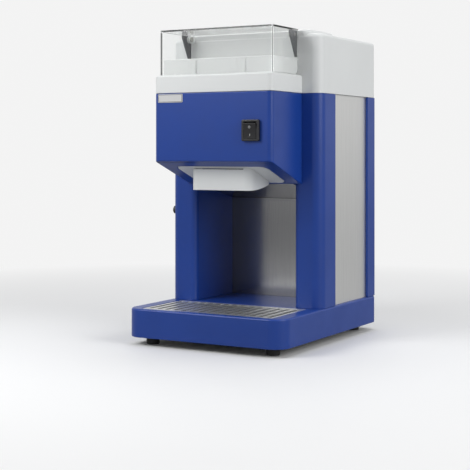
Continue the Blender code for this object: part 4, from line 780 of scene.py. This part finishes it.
class SHAVER_OT_head(bpy.types.Operator):
    """Models the head casing with its sloped underside, and the bare badge on its front"""
    bl_idname = "shaver.head"
    bl_label = "Head and badge"

    def execute(self, context):
        size = sizes()
        wall, front_bottom = size.case_wall, size.head_front_bottom
        reach, hatch_corner, bezel_lip = 4 * wall, 0.012, 0.0019
        low, high = corners("head_shell")
        fall = Vector((0, -head_slope(), -1)).normalized()
        edge = Vector((0, low.y, front_bottom))
        head = add_block("head_casing", low, high)
        round_all(head, (along(2, y=low.y), size.head_round, 12))
        slice_off(head, edge, fall)
        room = add_block("head_room", (low.x + wall, low.y + wall, low.z),
                         (high.x - wall, high.y + reach, high.z + reach))
        slice_off(room, edge + Vector((0, 0, wall)), fall)
        hatch = rounded_block("head_hatch", (-size.hatch_half, -size.hatch_front, low.z - reach),
                              (size.hatch_half, -size.hatch_rear, front_bottom + reach),
                              hatch_corner, hatch_corner)
        body_low, body_high = corners("switch_housing")
        hole = add_block("switch_hole",
                         (body_low.x + bezel_lip, low.y - wall, body_low.z + bezel_lip),
                         (body_high.x - bezel_lip, low.y + 2 * wall, body_high.z - bezel_lip))
        carve(head, room, hatch, hole)
        soften(head, size.head_edge, 3)
        finish_piece(head, "housing", "blue_paint", "head_shell")
        self.badge(low.y)
        return {"FINISHED"}

    def badge(self, face):
        """A bare plate with a thin dark border, high on the head's front."""
        size = sizes()
        raised, sunk, corner, edge = 0.0006, 0.0001, 0.0012, 0.0001
        x0, z0 = -size.badge_left_side, size.badge_bottom
        x1, z1 = x0 + size.badge_width, z0 + size.badge_height
        plate = add_block("badge_plate", (x0, face - raised, z0), (x1, face - sunk, z1))
        round_all(plate, (along(1), corner, 6), (on_plane(1, face - raised), edge, 2))
        finish_piece(plate, "housing", "brushed_steel", look="mark")

        margin, line, raised, sunk, through = 0.0008, 0.0005, 0.00075, 0.0004, 0.002
        outer_corner, inner_corner = 0.0008, 0.0004
        border = add_block("badge_border", (x0 + margin, face - raised, z0 + margin),
                           (x1 - margin, face - sunk, z1 - margin))
        step = margin + line
        room = add_block("badge_room", (x0 + step, face - through, z0 + step),
                         (x1 - step, face + through, z1 - step))
        round_all(border, (along(1), outer_corner, 6))
        round_all(room, (along(1), inner_corner, 6))
        carve(border, room)
        finish_piece(border, "housing", "black_plastic")


class SHAVER_OT_outlet(bpy.types.Operator):
    """Models the white spout under the head"""
    bl_idname = "shaver.outlet"
    bl_label = "Outlet spout"

    def execute(self, context):
        size = sizes()
        wall, rise, top = size.spout_wall, size.spout_rise, size.head_front_bottom
        rear_corner, inner_rear_corner = 0.004, 0.0015
        low, high = corners("outlet_spout")
        head_front = corners("head_shell")[0].y
        slope = head_slope()
        spout = rounded_block("spout", low, (high.x, high.y, top), size.spout_round, rear_corner,
                              segments=12)
        bore = rounded_block("spout_bore", (low.x + wall, low.y + wall, low.z - wall),
                             (high.x - wall, high.y - wall, top + wall),
                             size.spout_round - wall, inner_rear_corner, segments=12)
        carve(spout, bore)
        slice_off(spout, (0, head_front, top - HAIRLINE), Vector((0, slope, 1)).normalized())
        radius = ((high.y - low.y) ** 2 + rise ** 2) / (2 * rise)
        reach = high.x + wall
        sweep = add_cylinder("spout_edge", radius, (-reach, low.y, low.z + radius),
                             (reach, low.y, low.z + radius), 360)
        carve(spout, sweep, operation="INTERSECT")
        soften(spout, size.small_edge)
        under = top - slope * (low.y - head_front) - size.spout_lip
        carve(spout, add_block("spout_slot", (low.x + wall * 2, low.y - wall, under - size.spout_slot),
                               (high.x - size.spout_round, low.y + wall * 1.5, under)))
        finish_piece(spout, "housing", "white_plastic", "outlet_spout")
        return {"FINISHED"}


class SHAVER_OT_hopper(bpy.types.Operator):
    """Models the white rim on the head, its collar with two pads, and the funnel inside"""
    bl_idname = "shaver.hopper"
    bl_label = "Hopper"

    def execute(self, context):
        size = sizes()
        wall, band_top = size.case_wall, size.band_top
        lower_edge, room_corner, rear_setback = 0.0008, 0.003, 0.0027
        drum_middle, throat_rear = -0.044, -0.050
        low, high = corners("hopper")
        band_low = corners("head_shell")[1].z + HAIRLINE
        band = rounded_block("hopper_body", (low.x, low.y, band_low), (high.x, high.y, band_top),
                             size.head_round, 0, size.band_edge, lower_edge)
        pocket = add_block("hopper_pocket", (low.x + wall, low.y + wall, band_low - wall),
                           (high.x - wall, high.y - wall, band_top - wall))
        round_all(pocket, (along(2, y=low.y + wall), size.head_round - wall, 8))
        carve(band, pocket)
        front, rear = low.y + size.collar_setback, high.y - rear_setback
        x0, x1 = low.x + size.collar_inset, high.x - size.collar_inset
        collar = rounded_block("collar", (x0, front, band_top - wall / 2), (x1, rear, high.z),
                               size.collar_round, size.collar_round, size.collar_edge)
        pads = [self.pad(side, front, band_top - wall / 2, high.z) for side in (-1, 1)]
        mouth = front + wall, rear - wall
        throat = drum_middle - size.throat, throat_rear
        funnel = self.tapered("funnel", x1 - wall / 2, (mouth[0] - wall / 2, mouth[1] + wall / 2),
                              size.throat + wall, (throat[0] - wall, throat[1] + wall),
                              low.z, band_top - wall / 2)
        carve(band, collar, *pads, funnel, operation="UNION")
        inner = self.tapered("funnel_inside", x1 - wall, mouth, size.throat, throat,
                             low.z - HAIRLINE, band_top)
        room = rounded_block("collar_room", (x0 + wall, mouth[0], band_top - HAIRLINE),
                             (x1 - wall, mouth[1], high.z + wall), room_corner, room_corner)
        carve(band, inner, room)
        soften(band, CASE_EDGE)
        finish_piece(band, "housing", "white_plastic", "hopper")
        return {"FINISHED"}

    def pad(self, side, front, z0, collar_top):
        """A low pad on the collar's front, at one side of its middle."""
        off_middle, half, raised, drop, edge = 0.043, 0.008, 0.0018, 0.0015, 0.0012
        middle, face, top = side * off_middle, front - raised, collar_top - drop
        pad = add_block(f"pad_{side}", (middle - half, face, z0),
                        (middle + half, front + sizes().case_wall / 2, top))
        round_all(pad, (along(2, y=face), edge, 4), (along(0, y=face, z=top), edge, 4))
        return pad

    def tapered(self, name, half_top, y_top, half_low, y_low, z0, z1):
        """A block whose lower face is drawn in to a smaller size."""
        block = add_block(name, (-half_top, y_top[0], z0), (half_top, y_top[1], z1))
        long_top, long_low = y_top[1] - y_top[0], y_low[1] - y_low[0]
        centre = (y_top[0] + y_top[1]) / 2
        with Editing(block):
            pick(block, "faces", on_plane(2, z0))
            bpy.ops.transform.resize(value=(half_low / half_top, long_low / long_top, 1),
                                     center_override=(0, centre, z0))
            bpy.ops.transform.translate(value=(0, (y_low[0] + y_low[1]) / 2 - centre, 0))
        return block


class SHAVER_OT_guard(bpy.types.Operator):
    """Models the clear guard, which is open below and behind and is also the lid"""
    bl_idname = "shaver.guard"
    bl_label = "Clear guard"

    def execute(self, context):
        size = sizes()
        wall, side_play, front_play = size.guard_wall, 0.0008, 0.0017
        reach = 4 * wall
        low, high = corners("lid_guard")
        guard = rounded_block("guard", low, high, size.guard_round, 0)
        round_all(guard, (along(0, y=high.y, z=low.z), size.guard_heel, 10))
        inside = add_block("guard_room", (low.x + wall, low.y + wall, low.z - reach),
                           (high.x - wall, high.y + reach, high.z - wall))
        round_all(inside, (along(2, y=low.y + wall), size.guard_round / 2, 6))
        carve(guard, inside)
        for side in ("left", "right"):
            lug_low, lug_high = corners("hinge_lug_" + side)
            carve(guard, add_block("notch", (lug_low.x - side_play, lug_low.y - front_play,
                                             high.z - 2 * wall),
                                   (lug_high.x + side_play, high.y + reach, high.z + wall)))
        soften(guard, CASE_EDGE)
        finish_piece(guard, "lid", "clear_plastic", "lid_guard")
        return {"FINISHED"}


class SHAVER_OT_top_cover(bpy.types.Operator):
    """Models the white cover over the motor, with its raised middle"""
    bl_idname = "shaver.top_cover"
    bl_label = "Top cover"

    def execute(self, context):
        size = sizes()
        wall, half = size.case_wall, size.hump_half
        front_round, rear_round = size.column_round, size.cover_rear_round
        below, hump_corner, hump_sunk, hump_step = 0.01, 0.012, 0.012, 0.0005
        low, high = corners("rear_top_cover")
        top = high.z - size.hump_rise
        cover = rounded_block("top_cover", (low.x, low.y, low.z - below), (high.x, high.y, top),
                              front_round, rear_round, segments=12)
        round_all(cover, (on_plane(2, top), size.cover_round, 8))
        hump = rounded_block("hump", (-half, low.y + hump_step, top - hump_sunk),
                             (half, size.hump_rear, high.z), hump_corner, hump_corner, size.hump_edge)
        carve(cover, hump, operation="UNION")
        slice_off(cover, (0, 0, low.z), (0, 0, -1))
        inside = add_block("cover_room", (low.x + wall, low.y + wall, low.z - wall),
                           (high.x - wall, high.y - wall, top - size.cover_round / 2 - wall / 2))
        round_all(inside, (along(2, y=low.y + wall), front_round - wall, 10),
                  (along(2, y=high.y - wall), rear_round - wall, 8))
        carve(cover, inside)
        soften(cover, CASE_EDGE, angle=60)
        finish_piece(cover, "housing", "white_plastic", "rear_top_cover")
        return {"FINISHED"}


class SHAVER_OT_switch(bpy.types.Operator):
    """Models the bezel of the rocker switch, and the marks on the rocker"""
    bl_idname = "shaver.switch"
    bl_label = "Switch"

    def execute(self, context):
        corner, front_edge, edge, lip = 0.0022, 0.0012, 0.0003, 0.0022
        overlap, end_play, front_reach, rear_reach = 0.0005, 0.0012, 0.005, 0.001
        low, high = corners("switch_housing")
        rocker_low, rocker_high = corners("switch_rocker")
        head_front = corners("head_shell")[0].y - HAIRLINE
        middle = (low + high) / 2
        bezel = add_block("switch_bezel", low, (high.x, head_front, high.z))
        round_all(bezel, (along(1), corner, 6), (on_plane(1, low.y), front_edge, 4))
        body = add_block("switch_body", (low.x + lip, head_front - overlap, low.z + lip),
                         (high.x - lip, high.y, high.z - lip))
        carve(bezel, body, operation="UNION")
        half = (rocker_high.x - rocker_low.x) / 2 + HAIRLINE
        tall = sizes().rocker_height / 2 + end_play
        carve(bezel, add_block("rocker_room", (middle.x - half, low.y - front_reach, middle.z - tall),
                               (middle.x + half, rocker_high.y + rear_reach, middle.z + tall)))
        soften(bezel, edge)
        finish_piece(bezel, "housing", "black_plastic", "switch_housing")
        self.rocker()
        return {"FINISHED"}

    def rocker(self):
        """The tilting key with its two dished faces, and the on and off marks in them."""
        size = sizes()
        pivot = next(joint["pos_m"] for joint in frame["joints"] if joint["name"] == "rocker_tilt")
        half, wide = size.rocker_height / 2, size.rocker_width / 2
        out, dish, back = size.rocker_out, size.rocker_dish, size.rocker_back
        key = add_block("rocker_key", (-wide, -out, -half), (wide, back, half))
        with Editing(key, "SELECT"):
            bpy.ops.mesh.bisect(plane_co=(0, 0, 0), plane_no=(0, 0, 1))
            pick(key, "edges", lambda edge: all(abs(v.co.z) < TOUCH and v.co.y < -out + TOUCH
                                                for v in edge.verts))
            bpy.ops.transform.translate(value=(0, dish, 0))
            bpy.ops.mesh.select_all(action="SELECT")
            bpy.ops.mesh.bisect(plane_co=(0, 0, 0), plane_no=(0, 1, 0))
            pick(key, "faces", on_plane(1, back))
            bpy.ops.transform.resize(value=(1, 1, 0.5), center_override=(0, back, 0))
        soften(key, size.small_edge, 3, 40)
        marks = self.marks(math.atan(dish / half), half / 2, -out + dish / 2 - TOUCH)
        for piece in (key, marks):
            self.place(piece, pivot, size.rocker_tilt)
        finish_piece(key, "rocker", "dark_plastic", "switch_rocker", look="black")
        finish_piece(marks, "rocker", "white_plastic", look="mark")

    def marks(self, lean, off_middle, depth):
        """The bar of the lower face and the ring of the upper one, as one piece."""
        half_width, half_length, sunk, raised = 0.00035, 0.0017, 0.0001, 0.0002
        bar = add_block("rocker_marks", (-half_width, -sunk, -half_length),
                        (half_width, raised, half_length))
        self.place(bar, (0, depth, -off_middle), -lean)
        ring = new_object("ring", bpy.ops.mesh.primitive_torus_add, major_radius=0.0015,
                          minor_radius=0.0003, major_segments=40, minor_segments=10)
        self.place(ring, (0, depth, off_middle), math.radians(90) + lean)
        activate(bar)
        ring.select_set(True)
        bpy.ops.object.join()
        return bar

    def place(self, piece, spot, turn):
        """Turns a piece about the X axis and moves it, in its mesh."""
        piece.location = spot
        piece.rotation_euler = (turn, 0, 0)
        settle(piece)


class SHAVER_OT_stage(bpy.types.Operator):
    """Sets the floor, the lamps, the pale surroundings and the camera"""
    bl_idname = "shaver.stage"
    bl_label = "Stage"

    def execute(self, context):
        scene = context.scene
        self.floor()
        self.surroundings(scene)
        self.lamp("Key light", (-0.52, -0.88, 0.88), (0.0, -0.1, 0.29), 7.8, 0.6)
        self.lamp("Side light", (1.9, -0.35, 1.05), (0.0, 0.0, 0.27), 21, 1.2)
        self.lamp("Top light", (0.1, 0.5, 2.0), (0.0, 0.0, 0.30), 14, 1.5)
        view = scene.shaver_view
        camera = new_object("Camera", bpy.ops.object.camera_add, location=view.place,
                            rotation=(math.radians(90), 0, view.turn))
        camera.data.lens = view.lens
        camera.data.sensor_width = 36    # millimetres, as the lens expects
        camera.data.shift_y = view.shift
        camera.data.clip_end = 20
        scene.camera = camera
        return {"FINISHED"}

    def floor(self):
        """A plain pale floor with the object's shadow on it, darker to rays other than the camera's."""
        floor = new_object("Floor", bpy.ops.mesh.primitive_plane_add, size=14, location=(0, 0, 0))
        look, tree, surface, place = base_material("Pale floor", (0.86, 0.86, 0.86), 0.6)
        grain = place_grain(tree, "Surface grain", place["Object"])
        spread(tree, grain["Patches"], {"To Min": 0.58, "To Max": 0.64}, surface["Roughness"])
        rays = add_node(tree, "ShaderNodeLightPath").outputs
        tinted(tree, rays["Is Camera Ray"], (0.42, 0.42, 0.42), (0.86, 0.86, 0.86),
               surface["Base Color"])
        self.pale_far_floor(tree, place, rays)
        floor.data.materials.append(look)

    def pale_far_floor(self, tree, place, rays):
        """Lets the far floor, out of the lamps' reach, look as pale as the background."""
        near, far = 0.40, 1.25
        reach = add_node(tree, "ShaderNodeVectorMath", operation="LENGTH")
        fade = add_node(tree, "ShaderNodeMapRange", {"From Min": near, "From Max": far})
        glow = add_node(tree, "ShaderNodeEmission", {"Color": PALE, "Strength": 1.0})
        tree.links.new(place["Object"], reach.inputs[0])
        tree.links.new(reach.outputs["Value"], fade.inputs["Value"])
        seen = reckon(tree, "MAXIMUM", rays["Is Camera Ray"], rays["Is Transmission Ray"])
        share = reckon(tree, "MULTIPLY", fade.outputs["Result"], seen)
        blend(tree, share, tree.nodes["Principled BSDF"].outputs[0], glow.outputs[0],
              tree.nodes["Material Output"].inputs["Surface"])

    def surroundings(self, scene):
        """A soft grey surround for light, seen as plain pale by the camera, metal and the guard."""
        gloss_share = 0.62
        world = bpy.data.worlds.new("Surroundings")
        scene.world = world
        world.use_nodes = True
        tree = world.node_tree
        tree.nodes.clear()
        end = add_node(tree, "ShaderNodeOutputWorld")
        lit = add_node(tree, "ShaderNodeBackground", {"Color": (0.83, 0.85, 0.88, 1), "Strength": 0.39})
        plain = add_node(tree, "ShaderNodeBackground", {"Color": PALE, "Strength": 1.0})
        rays = add_node(tree, "ShaderNodeLightPath").outputs
        seen = reckon(tree, "MAXIMUM", rays["Is Camera Ray"], rays["Is Transmission Ray"])
        gloss = reckon(tree, "MULTIPLY", rays["Is Glossy Ray"], gloss_share)
        share = reckon(tree, "MAXIMUM", seen, gloss)
        blend(tree, share, lit.outputs[0], plain.outputs[0], end.inputs["Surface"])

    def lamp(self, name, place, target, watts, size):
        """A soft square lamp aimed at the object."""
        lamp = new_object(name, bpy.ops.object.light_add, type="AREA", location=place)
        lamp.rotation_euler = (Vector(target) - Vector(place)).to_track_quat("-Z", "Y").to_euler()
        lamp.data.energy = watts
        lamp.data.size = size


class SHAVER_PT_panel(bpy.types.Panel):
    """Lists the steps that model the ice shaver"""
    bl_label = "Ice Shaver"
    bl_idname = "SHAVER_PT_panel"
    bl_space_type = "VIEW_3D"
    bl_region_type = "UI"
    bl_category = "Ice Shaver"

    def draw(self, context):
        for step in STEPS:
            self.layout.operator(step.bl_idname)


STEPS = (SHAVER_OT_materials, SHAVER_OT_base, SHAVER_OT_grate, SHAVER_OT_pillars,
         SHAVER_OT_lining_hem, SHAVER_OT_rear_frame, SHAVER_OT_head, SHAVER_OT_outlet, SHAVER_OT_hopper,
         SHAVER_OT_guard, SHAVER_OT_top_cover, SHAVER_OT_switch, SHAVER_OT_stage)
GROUPS = {"shaver_sizes": ShaverSizes, "shaver_colours": ShaverColours, "shaver_view": ShaverView}


def register():
    for group in GROUPS.values():
        bpy.utils.register_class(group)
    for step in STEPS:
        bpy.utils.register_class(step)
    bpy.utils.register_class(SHAVER_PT_panel)
    for name, group in GROUPS.items():
        setattr(bpy.types.Scene, name, bpy.props.PointerProperty(type=group))


def unregister():
    for name in GROUPS:
        delattr(bpy.types.Scene, name)
    for item in (SHAVER_PT_panel, *reversed(STEPS), *GROUPS.values()):
        bpy.utils.unregister_class(item)


def main():
    """Runs every step."""
    register()
    bpy.context.scene.view_settings.view_transform = "Standard"
    for step in STEPS:
        category, name = step.bl_idname.split(".")
        getattr(getattr(bpy.ops, category), name)()


if __name__ == "__main__":
    main()
